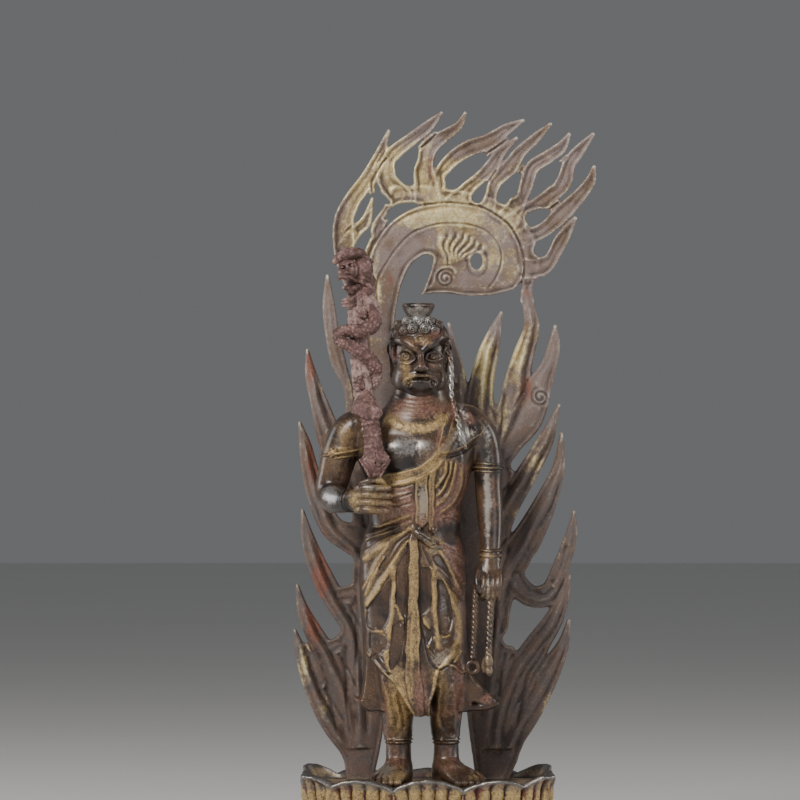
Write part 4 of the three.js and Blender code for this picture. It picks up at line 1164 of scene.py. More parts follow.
def add_hair(clay):
    """Snail curls over the forehead, combed hair behind, and the topknot bound like a cup."""
    cx, cy = HEAD_X, HEAD_Y
    clay.add(post([(346, cx, cy + 3, 22, 23), (353, cx, cy + 1.4, 22.8, 24.6), (360, cx, cy, 20.6, 22.4),
        (366, cx, cy, 15.6, 17.4), (370.5, cx, cy, 8.6, 9.6)]), 1.2)
    for x, z, r in CURLS:
        rim = max(0.12, 1 - ((x - cx) / 24.6) ** 2)
        lift = max(0.0, (z - 352) / 19)
        y = cy - 24.4 * math.sqrt(rim) * math.sqrt(max(0.15, 1 - 0.62 * lift**2))
        clay.add(ball((x, y + 1.2, z), (r, r * 0.9, r)), 0.5)
        turn = spiral((x, z), r * 0.74, 1.7, 60.0, 0.1, 20)
        lean = (x - cx) / 24.6
        rows = [(u, y + 1.2 - r * 0.86 * math.sqrt(max(0.1, 1 - ((u - x) ** 2 + (w - z) ** 2) / r**2))
                 + lean * 0.3, w, 0.42) for u, w in turn]
        clay.carve(roll(rows, 36), 0.25)
    # Combed locks run back from the curls over the sides and the back of the head.
    for i in range(26):
        angle = math.radians(62 + i * (360 - 124) / 25)
        rows = []
        for height, out in ((369, 9), (364, 16.6), (357, 21.8), (349, 23), (341, 22.4), (334, 20.6)):
            swirl = angle + 0.05 * math.sin(0.4 * height + i)
            rows.append((cx + math.sin(swirl) * out, cy - math.cos(swirl) * out * 1.04, height, 1.5))
        clay.add(roll(rows, 14), 0.7)
    clay.add(post([(366, cx - 0.6, cy, 10, 10), (369.2, cx - 0.6, cy, 8.4, 8.4),
                   (371, cx - 0.6, cy, 9.4, 9.4), (374, cx - 0.6, cy, 11, 11),
                   (378, cx - 0.6, cy, 12.4, 12.2), (380.6, cx - 0.6, cy, 12.2, 12)],
                  swell=lambda a, z, u, v: 1 + 0.025 * np.cos(8 * a) * step(371, 377, z)), 0.6)
    clay.carve(ball((cx - 0.6, cy, 383.4), (10.4, 10.2, 6.4)), 0.5)
    for height, out, thick in ((369.4, 8.6, 0.8), (378.8, 12.3, 0.7)):
        clay.add(roll(hoop((cx - 0.6, cy), out, out, height, height, thick), 32), 0.4)


def add_plait(clay, first, last):
    """One plait hangs from the left temple, its two strands turning about each other."""
    line = smooth([(13.6, -14, 348), (17.4, -17, 338), (18.6, -20, 324), (18.4, -23, 310), (20.2, -27, 300),
        (23, -32.6, 288), (26.4, -37, 276), (29.6, -38, 266)], 60)
    for phase in (0, math.pi):
        rows = []
        for i in range(first, last):
            x, y, z = line[i]
            turn = phase + i * 2 * math.pi * 6.5 / 59
            reach = 0.9 if i < 52 else 0.7
            rows.append((x + math.cos(turn) * reach, y - 0.5 + math.sin(turn) * reach * 0.6, z,
                         1.35 - 0.55 * max(0, i - 44) / 15))
        clay.add(roll(rows, 2 * len(rows)), 0.4)
    clay.add(roll([(*line[33], 2.3, 2), (*(line[33] + (0, 0, -2.4)), 2.3, 2)], 3), 0.4)


def torso_cloth():
    cloth = Cloth((-92, 174), (66, 320))
    # Sash from the left shoulder across the breast, and the end that hangs from it.
    cloth.strip([(-36, 240, 5.2), (-24, 242.6, 5), (-10, 246, 4.8), (2, 252.4, 4.6), (11, 262, 4.2),
        (18, 274, 3.8), (22, 288, 3.4)], 14, 1.9, 0.6, 0.55)
    cloth.folds(([(-34, 245.6), (-22, 247.4), (-9, 250.6), (2, 257), (9.4, 266)], 0.9, 0.9, 0.8),
        ([(-34, 235.4), (-22, 237.4), (-8, 241), (4, 247.6), (12, 257.6)], 0.9, 0.8, 0.8),
        ([(-30, 240.4), (-18, 242.6), (-6, 246.4), (4, 253.6)], 0.7, -0.5))
    cloth.leaf([(-10.4, 243), (-0.2, 246), (0.4, 209), (-4, 203.5), (-9.4, 205)], 2.5, 0.15)
    cloth.folds(([(-9.6, 241), (-9.4, 222), (-8.8, 206)], 0.8, 0.9, 0.9),
        ([(-0.8, 244), (-0.6, 226), (-0.2, 209)], 0.7, 0.7, 0.7))
    cloth.leaf([(0.8, 247), (5.4, 251), (5.6, 214), (3.6, 199), (0.6, 202)], 1.7, 0.5)
    cloth.fold([(3.2, 246), (3.6, 226), (3, 203)], 0.7, -0.6)
    # Three nested loops of cloth under the arm.
    for knots, width in (([(5.8, 219), (14.4, 227.6), (20, 241), (22.4, 258)], 1.1),
                         ([(5.8, 226.4), (12.4, 235), (16.6, 246), (18.8, 258)], 1.0),
                         ([(5.6, 234), (10, 240), (13.2, 248), (14.6, 257)], 0.9),
                         ([(7.2, 213.6), (18.8, 222.6), (25.4, 235), (27.4, 252)], 1.2)):
        cloth.fold(knots, width, 1.7, 0.8, 0.14)
        cloth.fold([(x + 2.2, z - 1.2) for x, z in knots], 1.1, -1.1)
    cloth.leaf([(9, 258), (26, 266), (28, 250), (24, 234), (16, 222), (7, 216)], 1.0, 0, 1.2)
    # Shawl over the left shoulder: its inner edge and its hem.
    cloth.leaf([(16.5, 300), (9.5, 276), (7.5, 260), (17, 262.4), (27, 267), (39.6, 275.6), (47.5, 283),
        (48, 300)], 2.1, 0, 0.7)
    cloth.folds(([(8, 260.4), (17.4, 262.6), (27, 267), (39.6, 275.6), (46.4, 282.4)], 1, 1.2, 0.7),
        ([(8.6, 257.6), (18, 259.6), (27.8, 263.8), (40.4, 272.4)], 1.2, -1.6),
        ([(16.2, 297), (12.2, 284), (9.4, 272), (8.2, 262)], 0.9, 0.9, 0.9))
    for shift in (0, 5, 10, 15):
        cloth.fold([(26 + shift, 297 - shift * 0.5), (30 + shift * 0.9, 286 - shift * 0.1),
            (31 + shift * 0.6, 273 + shift * 0.45)], 1.2, 0.8 if shift % 2 else 1.1, 0.35)
    # Breast, belly and waist.
    cloth.folds(([(-34, 252), (-24, 248.4), (-14, 248.6), (-6, 252.4)], 1.4, -0.9),
        ([(-9.4, 272), (-9.6, 262), (-10, 253)], 2.0, -0.7))
    for row in ([(-32, 235.4), (-21.5, 236), (-11.4, 239)], [(-31, 227.6), (-21.5, 228), (-11.4, 230)],
                [(-30, 220.6), (-20, 221.4), (-11, 224)]):
        cloth.fold(row, 0.7, -0.9)
        cloth.fold([(x, z + 1.8) for x, z in row], 1.0, 0.5, 0.3)
    cloth.folds(([(-50, 199), (-38, 202), (-24, 207), (-11.6, 211.6)], 0.9, -1.3),
        ([(-50, 202), (-38, 205), (-24, 210), (-12, 214.4)], 1.2, 0.8, 0.5),
        ([(7.6, 208), (12, 212), (20, 212), (27, 207), (31, 196)], 0.9, 1.1, 0.4))
    cloth.leaf([(7, 210), (26, 208), (31, 196), (31, 180), (14, 190)], 1.0)
    # Worn gilt collar with a waving relief.
    collar = [(-36, 290), (-24, 284.6), (-8, 281), (4, 283.6), (14.6, 292)]
    cloth.fold(collar, 5.4, 0.7, 1.2, 0.04)
    for i in range(9):
        x = -32 + 5.4 * i
        z = 281.4 + 0.0155 * (x + 8) ** 2
        cloth.fold([(x - 3, z - 3), (x + 1.6, z - 1), (x - 1.4, z + 2.6)], 1.2, 0.3 + 0.1 * (i % 3), 0.2)
    cloth.dab(TORSO_MARKS)
    cloth.waver(43, 6, 0.7)
    return cloth


# Soft patches on the body: x, height, half width, half height, strength. The marks of rubbed metal also
# paint highlights: a sheen over the chest, a streak down the left forearm and a spot on the right elbow.
TORSO_MARKS = {
    "gold": [(-64, 276, 14, 14, 0.75), (-67, 262.4, 17, 5.4, 1.1), (47, 250.6, 14, 4, 0.5),
        (-42, 226, 14, 14, 0.7), (-58, 225, 5, 12, 0.9), (-68, 248, 9, 8, 0.4), (-18, 241, 22, 5, 0.9),
        (8, 232, 8, 22, 0.5), (49, 182, 10, 5, 0.6), (47, 166, 10, 14, 0.6), (42, 120, 14, 36, 0.4),
        (20, 252, 12, 9, 0.5), (-4, 222, 7, 22, 0.4), (2, 255, 10, 8, 0.8), (-30, 206, 20, 8, 0.5),
        (-14, 296, 26, 8, 0.4), (-20, 222, 13, 14, 0.45), (44, 250, 12, 34, 0.3)],
    "red": [(-8, 298, 34, 13, 0.75), (9.6, 270, 4.4, 16, 0.9), (30, 289, 16, 9, 0.5),
        (-20, 226, 14, 16, 0.8), (49, 226, 9, 40, 0.5), (-6, 212, 14, 10, 0.6), (-64, 244, 9, 9, 0.6),
        (-56, 284, 14, 8, 0.35), (24, 244, 12, 16, 0.8), (14, 218, 14, 14, 0.8), (-30, 212, 14, 10, 0.6)],
    "bare": [(-13, 268, 26, 13, 0.75), (-4, 226, 6.4, 22, 0.9), (-77, 229, 8, 10, 0.95),
        (47, 226, 4, 50, 0.95), (26, 290, 7, 26, 0.7), (-44, 236, 14, 5, 0.6), (38, 278, 14, 12, 0.5),
        (47, 160, 8, 12, 0.6), (-22, 216, 14, 8, 0.5), (-66, 256, 8, 8, 0.4), (16, 230, 8, 10, 0.4)],
}


def limb_ring(clay, at, way, radii, thick, flat):
    """A band around a limb at a point, square to a direction."""
    axis = Vector(way).normalized()
    side = axis.cross(Vector((0, 1, 0))).normalized()
    up = axis.cross(side).normalized()
    rows = []
    for a in np.linspace(0, 2 * math.pi, 21):
        p = Vector(at) + side * math.cos(a) * radii[0] + up * math.sin(a) * radii[1]
        rows.append((*p, thick, flat))
    clay.add(roll(rows, 36, face=tuple(axis)), 0.3)


def sculpt_torso(sizes):
    clay = Clay((-93, -64, 84), (66, 28, 320), sizes.body_cell)
    add, carve = clay.add, clay.carve
    cx, cy = MIDDLE_X, MIDDLE_Y
    add(post([(182, cx - 1, cy, 35, 24), (200, cx - 1, cy, 35.6, 25.4), (222, cx - 1, cy, 37.4, 27),
        (240, cx, cy, 41.4, 28.6), (256, cx, cy, 46, 30), (270, cx, cy, 50, 29.4), (281, cx, cy, 49, 26),
        (289, cx, cy, 38, 24), (296, cx + 1, cy, 29, 22), (303, cx + 1.6, cy + 1, 23.4, 19.6),
        (310, cx + 2, cy + 1.6, 20.6, 17.4), (316, cx + 2, cy + 2, 19, 16)]), 0)
    for x in (-23.4, -0.6):
        add(ball((x, -32, 264), (14.6, 9.4, 11)), 4)
    add(ball((-14, -28, 226), (20, 9, 15)), 6)
    cloth = torso_cloth()
    press(clay, cloth.rise)
    # Creases of the neck.
    for i in range(5):
        share = i / 4
        height = 302.6 - 13 * share
        add(roll(hoop((cx + 1.4, cy + 0.6), 19.2 + 4.6 * share, 19 + 5.4 * share, height,
                      height + 8 + 3 * share, 0.9, 0.6, -150, 150, 24), 40), 1.3)
    add_plait(clay, 30, 60)
    # Shoulder cloth.
    add(roll([(20, -10, 296, 7, 10), (34, -10, 290, 9.4, 13), (44, -9, 279, 9, 14), (50, -9, 268, 5, 11)],
        14), 3)
    # Right arm: it bends forward to the fist that holds the sword.
    add(roll([(-44, -9, 288, 9, 13), (-60, -9, 281, 13.6, 15), (-68.6, -9, 264, 14.4, 15),
        (-73.6, -8, 246, 13, 13.6), (-77, -10, 231, 11.8, 12.4), (-75, -16, 224, 9, 9.6)], 22), 3)
    add(roll([(-77, -8, 229, 9, 9), (-74.6, -20, 227, 11.6, 11), (-68, -32, 225, 10.6, 10),
        (-61, -43, 225, 8.4, 8.2), (-55, -48, 226, 8.6, 9)], 18, face=(0, 0, 1)), 3)
    limb_ring(clay, (-68, -8.6, 262.4), (-0.16, 0, 1), (14.2, 14.6), 3.8, 1.3)
    for height in (266, 258.6):
        limb_ring(clay, (-67.4 - (266 - height) * 0.17, -8.6, height), (-0.16, 0, 1), (14.4, 15.2),
                  0.8, 0.7)
    add(ball((-74, -23.4, 262.4), (3.4, 2.4, 3)), 0.4)
    for i in range(6):
        a = i * math.pi / 3
        add(ball((-74 + 3.6 * math.cos(a), -23.2, 262.4 + 3.4 * math.sin(a)), 1.2), 0.3)
    limb_ring(clay, (-60.4, -43.6, 225.2), (0.75, -0.66, 0), (8.5, 8.5), 1.2, 0.9)
    limb_ring(clay, (-62.6, -41.6, 225.2), (0.75, -0.66, 0), (8.8, 8.8), 0.7, 0.6)
    add(ball((-49, -49.4, 227), (9.4, 8, 11)), 2)
    add(ball((-39, -48, 227.6), (8.4, 7, 10)), 2)
    for k, z in enumerate((235, 229.4, 223.6, 217.8)):
        reach = (0, 1, 0.6, -0.8)[k]
        add(roll([(-55.6, -50.4, z, 2.7), (-52.4, -56.4, z + 0.2, 3.1), (-44, -59.2, z, 3.0),
            (-35.6 + reach, -57, z - 0.4, 2.8), (-31 + reach, -50.6, z - 0.6, 2.4)], 18), 0.45)
        carve(roll([(-34.4 + reach, -58.8, z - 0.3, 0.5), (-33.6 + reach, -58, z + 1.6, 0.3)], 3), 0.3)
    add(roll([(-35, -46, 236, 3.2), (-38, -52.6, 240.2, 3.2), (-45, -57.4, 240.8, 2.9),
        (-51.6, -57, 239, 2.2)], 14), 0.6)
    # Left arm: straight down, the hand closed about the lasso.
    add(roll([(28, -8, 286, 9, 12), (41, -8, 277, 12.6, 14.6), (46.6, -8, 259, 12, 13.6),
        (48, -8, 237, 10.6, 12), (49, -9, 214, 10.2, 10.8), (49.6, -12, 196, 8.8, 9),
        (49.4, -16, 182, 7.6, 7.4)], 26), 3)
    limb_ring(clay, (47.2, -8.2, 250.6), (0.04, 0, 1), (11.3, 12.8), 2.6, 1.0)
    for height in (253.6, 247.6):
        limb_ring(clay, (47.2, -8.2, height), (0.04, 0, 1), (11.6, 13.1), 0.8, 0.7)
    for height, r in ((186.6, 8.2), (182.6, 8.6), (178.8, 8.0)):
        limb_ring(clay, (49.4, -15.4 + (186.6 - height) * 0.2, height), (0, -0.2, 1), (r, r - 0.3), 1.2, 0.9)
    add(roll([(49.4, -16.4, 180, 7.2, 6.4), (48.6, -20, 170, 8.8, 6.4), (47.6, -23, 160, 9.6, 6.6),
        (46.8, -23, 153, 8.4, 6)], 14), 1.6)
    for k, x in enumerate((55.4, 51.6, 47.6, 43.8)):
        drop = (0, 1.6, 1.4, 0)[k]
        add(roll([(x, -21, 170, 2.1), (x + 0.4, -27, 165, 2.5), (x + 0.2, -30.4, 158, 2.5),
            (x - 0.4, -30, 150.6 - drop, 2.3), (x - 0.8, -25, 147.4 - drop, 2.0),
            (x - 0.6, -20.4, 150, 1.7)], 18), 0.5)
    add(roll([(43, -19, 174, 3.2, 3), (39.6, -25, 168, 3), (38.8, -30, 160, 2.7), (41, -32, 153.4, 2.1)],
        14), 0.7)
    add_lasso(clay)
    clay.field += 0.12 * wander(12, 9, *clay.axes())
    return clay, cloth


def add_lasso(clay):
    """Two hanging twists of rope, one ending in a ring and one in a weight."""
    ends = ([(38, -27, 160), (37.4, -30, 146), (37, -30, 130), (36.4, -30, 114), (35.4, -30, 101)],
            [(49, -24, 158), (49.4, -28, 146), (48.8, -29, 130), (48, -29, 114), (47.6, -29, 101)])
    for row in ends:
        line = smooth(row, 50)
        for phase in (0, 2 * math.pi / 3, 4 * math.pi / 3):
            rows = []
            for i, (x, y, z) in enumerate(line):
                turn = phase + i * 2 * math.pi * 5 / 49
                rows.append((x + math.cos(turn) * 1.5, y + math.sin(turn) * 1.5, z, 1.45))
            clay.add(roll(rows, 70), 0.3)
    hoop_rows = [(35 + math.sin(a) * 4.4, -29.6, 93.6 + math.cos(a) * 4.4, 1.9)
                 for a in np.linspace(0, 2 * math.pi, 15)]
    clay.add(roll(hoop_rows, 30), 0.5)
    clay.add(roll([(47.6, -29, 103, 2.4), (47.6, -29, 98, 3.9), (47.8, -29, 94, 2.6), (48, -29, 91, 3.2),
        (48.2, -29, 87.6, 1.2)], 16), 0.5)
    clay.add(roll([(44.6, -29, 100, 1.6), (43.6, -29.4, 94, 1.9), (44, -29, 90, 1)], 10), 0.5)


# Dark hollows between the gilt folds of the skirt, as closed outlines of x and z.
HOLLOWS = [
    [(-24.6, 174), (-16.8, 184), (-16.4, 165), (-17.2, 140), (-18.6, 133), (-24.2, 142), (-25, 160)],
    [(-29, 164), (-39, 151), (-47.6, 139), (-47, 125), (-36.5, 122.6), (-32, 127), (-29, 144)],
    [(-27, 127), (-18.4, 131), (-18, 116), (-22.6, 100), (-29.6, 93), (-29, 110)],
    [(-46.4, 121), (-32, 119.6), (-31.6, 110), (-35, 105), (-43, 103), (-46, 113)],
    [(-5.6, 172), (0.9, 172), (1.9, 143), (-4.4, 134.6)],
    [(7.4, 163), (12, 161), (17, 148), (19, 131), (15.6, 119), (10.4, 119), (7.6, 140)],
    [(-4, 128), (1.4, 124), (4, 118), (4.4, 106), (0, 110)],
    [(3, 181), (8.4, 182.4), (15.4, 169), (20, 157), (11, 165)],
    [(-14, 200), (-26, 191), (-31, 183), (-39, 172), (-35, 170), (-25, 183), (-16, 194)],
    [(-16, 204), (-34, 195.6), (-52, 186), (-52, 190), (-34, 198)],
]
# Gilt folds: knots of x, z and half width, then rise, gold and red.
SKIRT_FOLDS = [
    ([(-12, 209, 1.4), (-30, 203, 2.4), (-52, 195, 2.4)], 1.5, 0.4, 0.4),
    ([(-13, 204.6, 1.0), (-25.4, 195.6, 1.5), (-37.4, 188, 1.9), (-53, 177, 2)], 1.6, 0.9, 0),
    ([(-30, 191, 0.9), (-39.8, 177.5, 1.2), (-47.6, 163, 1.1), (-52.6, 154, 0.9)], 1.4, 0.55, 0),
    ([(-34, 181, 0.9), (-43.2, 165.6, 1.2), (-50, 148.6, 1.1)], 1.3, 0.55, 0),
    ([(-14, 196, 1.2), (-23.8, 184.4, 1.9), (-30.6, 170.8, 2.3), (-39.2, 155.4, 2.3), (-49, 140, 1.9)],
     1.9, 1.0, 0),
    ([(-26.6, 175, 1.7), (-26.4, 160, 2), (-28, 143.4, 2), (-30.2, 127, 2.1), (-30.6, 113, 2)], 1.7, 1.0, 0),
    ([(-33, 108, 1.6), (-32.8, 99, 1.5), (-31, 90, 1)], 1.4, 0.9, 0),
    ([(-25, 143, 1), (-21.4, 135, 1.3), (-18.6, 127, 1.3)], 1.0, 1.0, 0),
    ([(3.4, 175, 2.4), (4, 160.4, 2.2), (5.6, 140, 2.1), (7.4, 123, 1.9), (8.8, 107, 1.7)], 1.9, 1.1, 0),
    ([(2, 178, 1.2), (10.6, 167.4, 1.7), (19, 150.4, 2.4), (24, 136, 2.6), (25, 118.6, 2.4),
      (20.6, 106, 2), (10, 94, 1.5)], 1.7, 0.85, 0.2),
    ([(8.6, 187, 1), (17.2, 170.8, 1.3), (26.4, 152, 1.4)], 1.4, 0.6, 0.3),
    ([(12, 188, 1), (21.4, 172.6, 1.4), (30, 159, 1.5)], 1.4, 0.3, 0.7),
    ([(9, 192, 1.2), (22, 183.4, 1.8), (32, 175, 2)], 1.3, 0.3, 0.8),
    ([(-3.8, 134, 0.9), (-1.6, 128, 1.9), (0.8, 123.4, 1)], 1.3, 1.0, 0),
    ([(-0.6, 108.4, 0.9), (2, 113, 1.4), (4.8, 118.4, 0.8)], 1.2, 0.9, 0),
    ([(-22.4, 127, 0.8), (-19.6, 124, 1.1), (-18, 121, 0.8)], 0.9, 0.3, 0),
    ([(10.4, 120, 0.8), (14, 117.6, 1.2), (18, 119.4, 0.8)], 1.1, 0.9, 0),
    ([(14.4, 134, 0.8), (15.4, 129, 1.2), (14.4, 124, 0.8)], 0.8, 0.7, 0),
    ([(-42, 123.6, 0.9), (-37, 120.6, 1.6), (-33, 118, 0.9)], 1.2, 0.8, 0),
    ([(20, 98, 0.9), (22.6, 102, 2.2), (26, 108, 1)], 0.7, 1.0, 0),
]
# Sharp dark seams: at the waist, beside the pleat and outside the great folds.
SKIRT_SEAMS = [
    [(-10, 211.6), (-25.4, 204.8), (-40, 199), (-53, 194)],
    [(-15.6, 196), (-16.2, 170), (-17.2, 140), (-18, 112), (-19, 90)],
    [(-6.6, 192), (-6, 170), (-5.2, 132), (-2.4, 114.6), (2, 99.4), (8.8, 92), (17, 97), (25, 106)],
    [(-4, 190), (0.4, 179), (12, 165), (20.8, 153), (29, 146)],
    [(4, 194), (18, 186), (32, 176)],
    [(-29.4, 167), (-40, 150.6), (-49, 138)],
    [(-46, 101), (-40, 103.6), (-35, 99.6), (-31, 88)],
]
LEFT_HEM = [(-49, 106), (-45.6, 102), (-36.4, 91), (-25.4, 80.6), (-12.6, 59.6), (-7.4, 52)]
RIGHT_HEM = [(33, 93), (27.4, 90), (17.6, 96.4), (8.9, 93.2), (5.4, 79), (1.2, 66), (0.4, 52)]
# Soft patches on the skirt and legs: x, height, half width, half height, strength. The marks of rubbed metal
# also paint highlights, among them those on the feet.
SKIRT_MARKS = {
    "gold": [(-24, 74, 10, 22, 1.0), (-20, 54, 9, 12, 0.7), (8, 86, 7, 14, 0.9), (9, 50, 6, 10, 0.5),
        (46, 74, 9, 12, 0.5), (-22, 12, 16, 8, 0.5), (-23, 36, 12, 6, 0.5), (14, 36, 12, 6, 0.4),
        (-46, 150, 9, 40, 0.35), (-14, 84, 4, 30, 0.5), (-34, 200, 16, 9, 0.3), (12, 64, 8, 20, 0.6),
        (-26, 60, 9, 24, 0.5), (-24, 7, 16, 5, 0.8), (35, 8, 9, 5, 0.8), (4, 190, 8, 12, 0.5),
        (30, 92, 9, 30, 0.4), (-36, 112, 9, 14, 0.4)],
    "red": [(-6, 76, 7, 26, 1.0), (26, 140, 8, 56, 0.75), (24, 74, 5.4, 22, 1.0), (-32, 66, 5, 26, 0.9),
        (10, 58, 8, 13, 0.7), (46, 68, 6, 5, 0.9), (-56, 70, 5, 12, 0.7), (-24, 22, 14, 20, 0.6),
        (16, 22, 16, 22, 0.6), (20, 184, 16, 10, 0.5), (-42, 96, 6, 16, 0.5), (-40, 133, 12, 16, 0.3)],
    "bare": [(9, 100, 10, 9, 0.9), (-34, 12, 13, 8, 0.85), (-23, 37, 6, 4, 0.8), (20, 37, 6, 5, 0.7),
        (-2, 198, 8, 8, 0.6), (14, 150, 7, 20, 0.45), (-14, 206, 9, 7, 0.35), (18, 72, 3, 24, 0.6),
        (26, 18, 12, 12, 0.6), (34, 78, 16, 12, 0.25), (-46, 64, 8, 4, 0.4), (-38, 138, 8, 14, 0.5),
        (-38, 113, 8, 8, 0.6), (-24, 112, 5, 16, 0.45), (-21, 156, 4, 22, 0.35), (4, 186, 7, 9, 0.6),
        (10, 134, 8, 18, 0.4), (-46, 184, 10, 6, 0.3)],
}


def skirt_cloth():
    cloth = Cloth((-70, -4), (68, 214))
    z = cloth.rise.axes()[1]
    front = cloth.rise.inside([(-52, 196), (-11, 210), (14, 196), (27, 150), (26, 100), (2, 80), (-9, 54),
        (-44, 104), (-52, 140)])
    cloth.gold.value += 0.42 * (1 - step(-5, 3, front)) * step(60, 110, z)
    for corners in HOLLOWS:
        cloth.leaf(corners, -1.4, -0.6, 0.9, 44)
    for row in SKIRT_SEAMS:
        cloth.fold(row, 1.0, -1.2, -0.4, 0.05)
    for rows, rise, gold, red in SKIRT_FOLDS:
        for board, much, spread in ((cloth.rise, rise, 1.15), (cloth.gold, gold, 1.3),
                                    (cloth.red, red, 1.6)):
            if much:
                cut, away, share, (wide,) = board.near(rows, 9, 40)
                ends = step(0, 0.06, share) * step(0, 0.06, 1 - share)
                board.value[cut] += much * bump(away, wide * spread) * ends
    # Central pleat: one long gilt strip that turns red towards the hem.
    pleat = [(-11.2, 197, 3.2), (-11.2, 180, 4), (-11.4, 150, 4.5), (-11.4, 118, 5.2), (-12.4, 96, 5.8),
        (-10, 76, 6.6), (-6, 58, 3.6)]
    cloth.strip(pleat, 16, 2.2, 0.5, 0)
    cloth.gold.line([(a, b) for a, b, _ in pleat[:5]], 4.8, 0.75, 0.1, 40)
    cloth.folds(([(-7.6, 150), (-7.6, 116), (-7.2, 88), (-4.4, 62)], 0.8, 0.8, 0.3),
        ([(-13.8, 140), (-14.4, 116), (-15.4, 96), (-13, 74)], 0.8, -0.9),
        ([(-11, 112), (-10.6, 92), (-8, 66)], 0.9, -0.8))
    # Edges of the upper cloth, which parts over the trouser legs and falls to a point.
    for hem in (LEFT_HEM, RIGHT_HEM):
        cloth.fold(hem, 1.3, 1.3, 0.5, 0.02)
    # Trousers: long soft folds with worn gold, red on their outer sides.
    for knots in ([(-38, 88), (-31, 68), (-28, 44)], [(-27, 74), (-23, 60), (-22, 42)],
                  [(9, 84), (8, 62), (9, 42)], [(20, 88), (21, 64), (19, 42)]):
        cloth.fold(knots, 1.8, 1.2, 0.2)
        cloth.fold([(a + 3, b) for a, b in knots], 1.4, -1.0)
    cloth.dab(SKIRT_MARKS)
    cloth.waver(41, 5, 0.6)
    return cloth


def sculpt_skirt(sizes):
    clay = Clay((-70, -62, -1), (66, 32, 216), sizes.cloth_cell)
    add, carve = clay.add, clay.carve

    def pleats(angle, z, u, v):
        low = 1 - step(58, 200, z)
        back = step(1.5, 2.1, np.abs(angle))
        return 1 + (0.008 + 0.035 * low * back) * np.cos(11 * angle + 1.2 * low * np.sin(angle))
    add(post([(56, -7, -9, 40, 30), (64, -7, -9, 43, 33.4), (80, -8, -9, 42.6, 33.6),
        (112, -10, -10, 41, 32), (160, -12, -10, 42, 31), (190, -12, -10, 40, 28),
        (204, -11, -10, 36, 24.6), (212, -10.5, -10, 33.4, 23.4)], swell=pleats, margin=8), 0)
    # The hem swings out at both sides, and its lip rolls over.
    add(roll([(-38, -10, 102, 5, 15), (-42, -11, 88, 5.4, 16), (-44.4, -11, 76, 6, 16),
        (-47, -11, 67, 5.4, 15)], 16), 5)
    add(roll([(-42, -11, 61, 2.2, 14), (-50, -11, 63.4, 3, 13), (-57, -11, 68.4, 1.9, 10)], 12), 3)
    add(roll([(22, -10, 99, 4, 15), (27, -11, 87, 6, 16), (34, -11, 76, 8, 16), (42, -11, 69.6, 6.6, 15),
        (50, -11, 66.4, 4.4, 13)], 18), 5)
    add(roll([(26, -11, 61.6, 2.2, 14), (40, -11, 61, 2.6, 14), (50, -11, 62.4, 2.6, 12),
        (55, -11, 65, 2.2, 10)], 14), 2)
    carve(slab([(-66, 30), (-66, 101), (-52, 101), *LEFT_HEM[1:], (-9.5, 30)], -70, -21), 1.2)
    carve(slab([(64, 30), (64, 92), (36, 92), *RIGHT_HEM[1:], (-3.4, 30)], -70, -21), 1.2)
    carve(slab([(-70, 40), (-52, 57), (-40, 59), (-12, 56), (2, 56), (30, 58), (48, 57), (66, 50), (66, 0),
        (-70, 0)], -70, 20), 1.0)
    for side in (-1, 1):
        x = -24 if side < 0 else 14
        add(roll([(x - 4 * side, -13, 104, 19, 27), (x, -13.4, 88, 16.6, 24), (x, -11.4, 70, 14.2, 18.6),
            (x, -8.6, 54, 12.8, 14.4), (x, -7, 42, 11.4, 12)], 20), 1.6)
    clay.soften(3)
    cloth = skirt_cloth()
    press(clay, cloth.rise)
    # The cloth gathered at the waist: two rolled loops and their ends.
    add(roll([(-15, -35, 203, 2.6, 2.6), (-11.6, -37.6, 204, 3.8, 3), (-8.4, -38, 202.6, 3.4, 2.8)], 8), 1.2)
    add(roll([(-11, -37.6, 201, 2.6, 2.6), (-6, -39.4, 198, 3.4, 3.2), (0, -39.6, 194, 3.8, 3.2),
        (3.6, -38.8, 191, 3.6, 2.8)], 12), 0.6)
    carve(roll([(-6.6, -42.6, 199, 0.5), (-2, -42.8, 196, 0.7), (2.6, -41.8, 192.8, 0.7)], 8), 0.6)
    carve(roll([(2.2, -41.4, 188.4, 1.0, 0.8), (5.4, -39.8, 191, 1.0, 0.8), (7.4, -37, 193.6, 0.8)], 6), 0.4)
    add(ball((4.6, -35.4, 201.4), (2.8, 2.4, 3.6)), 1.0)
    for side in (-1, 1):
        add_leg(clay, side)
    x, y, z = clay.axes()
    clay.field += 0.18 * wander(13, 9, x, y, z) + 0.12 * wander(14, 2.6, x, y, z) * step(205, 150, z)
    clay.field = np.maximum(clay.field, CLEAR - z).astype(np.float32)
    return clay, cloth


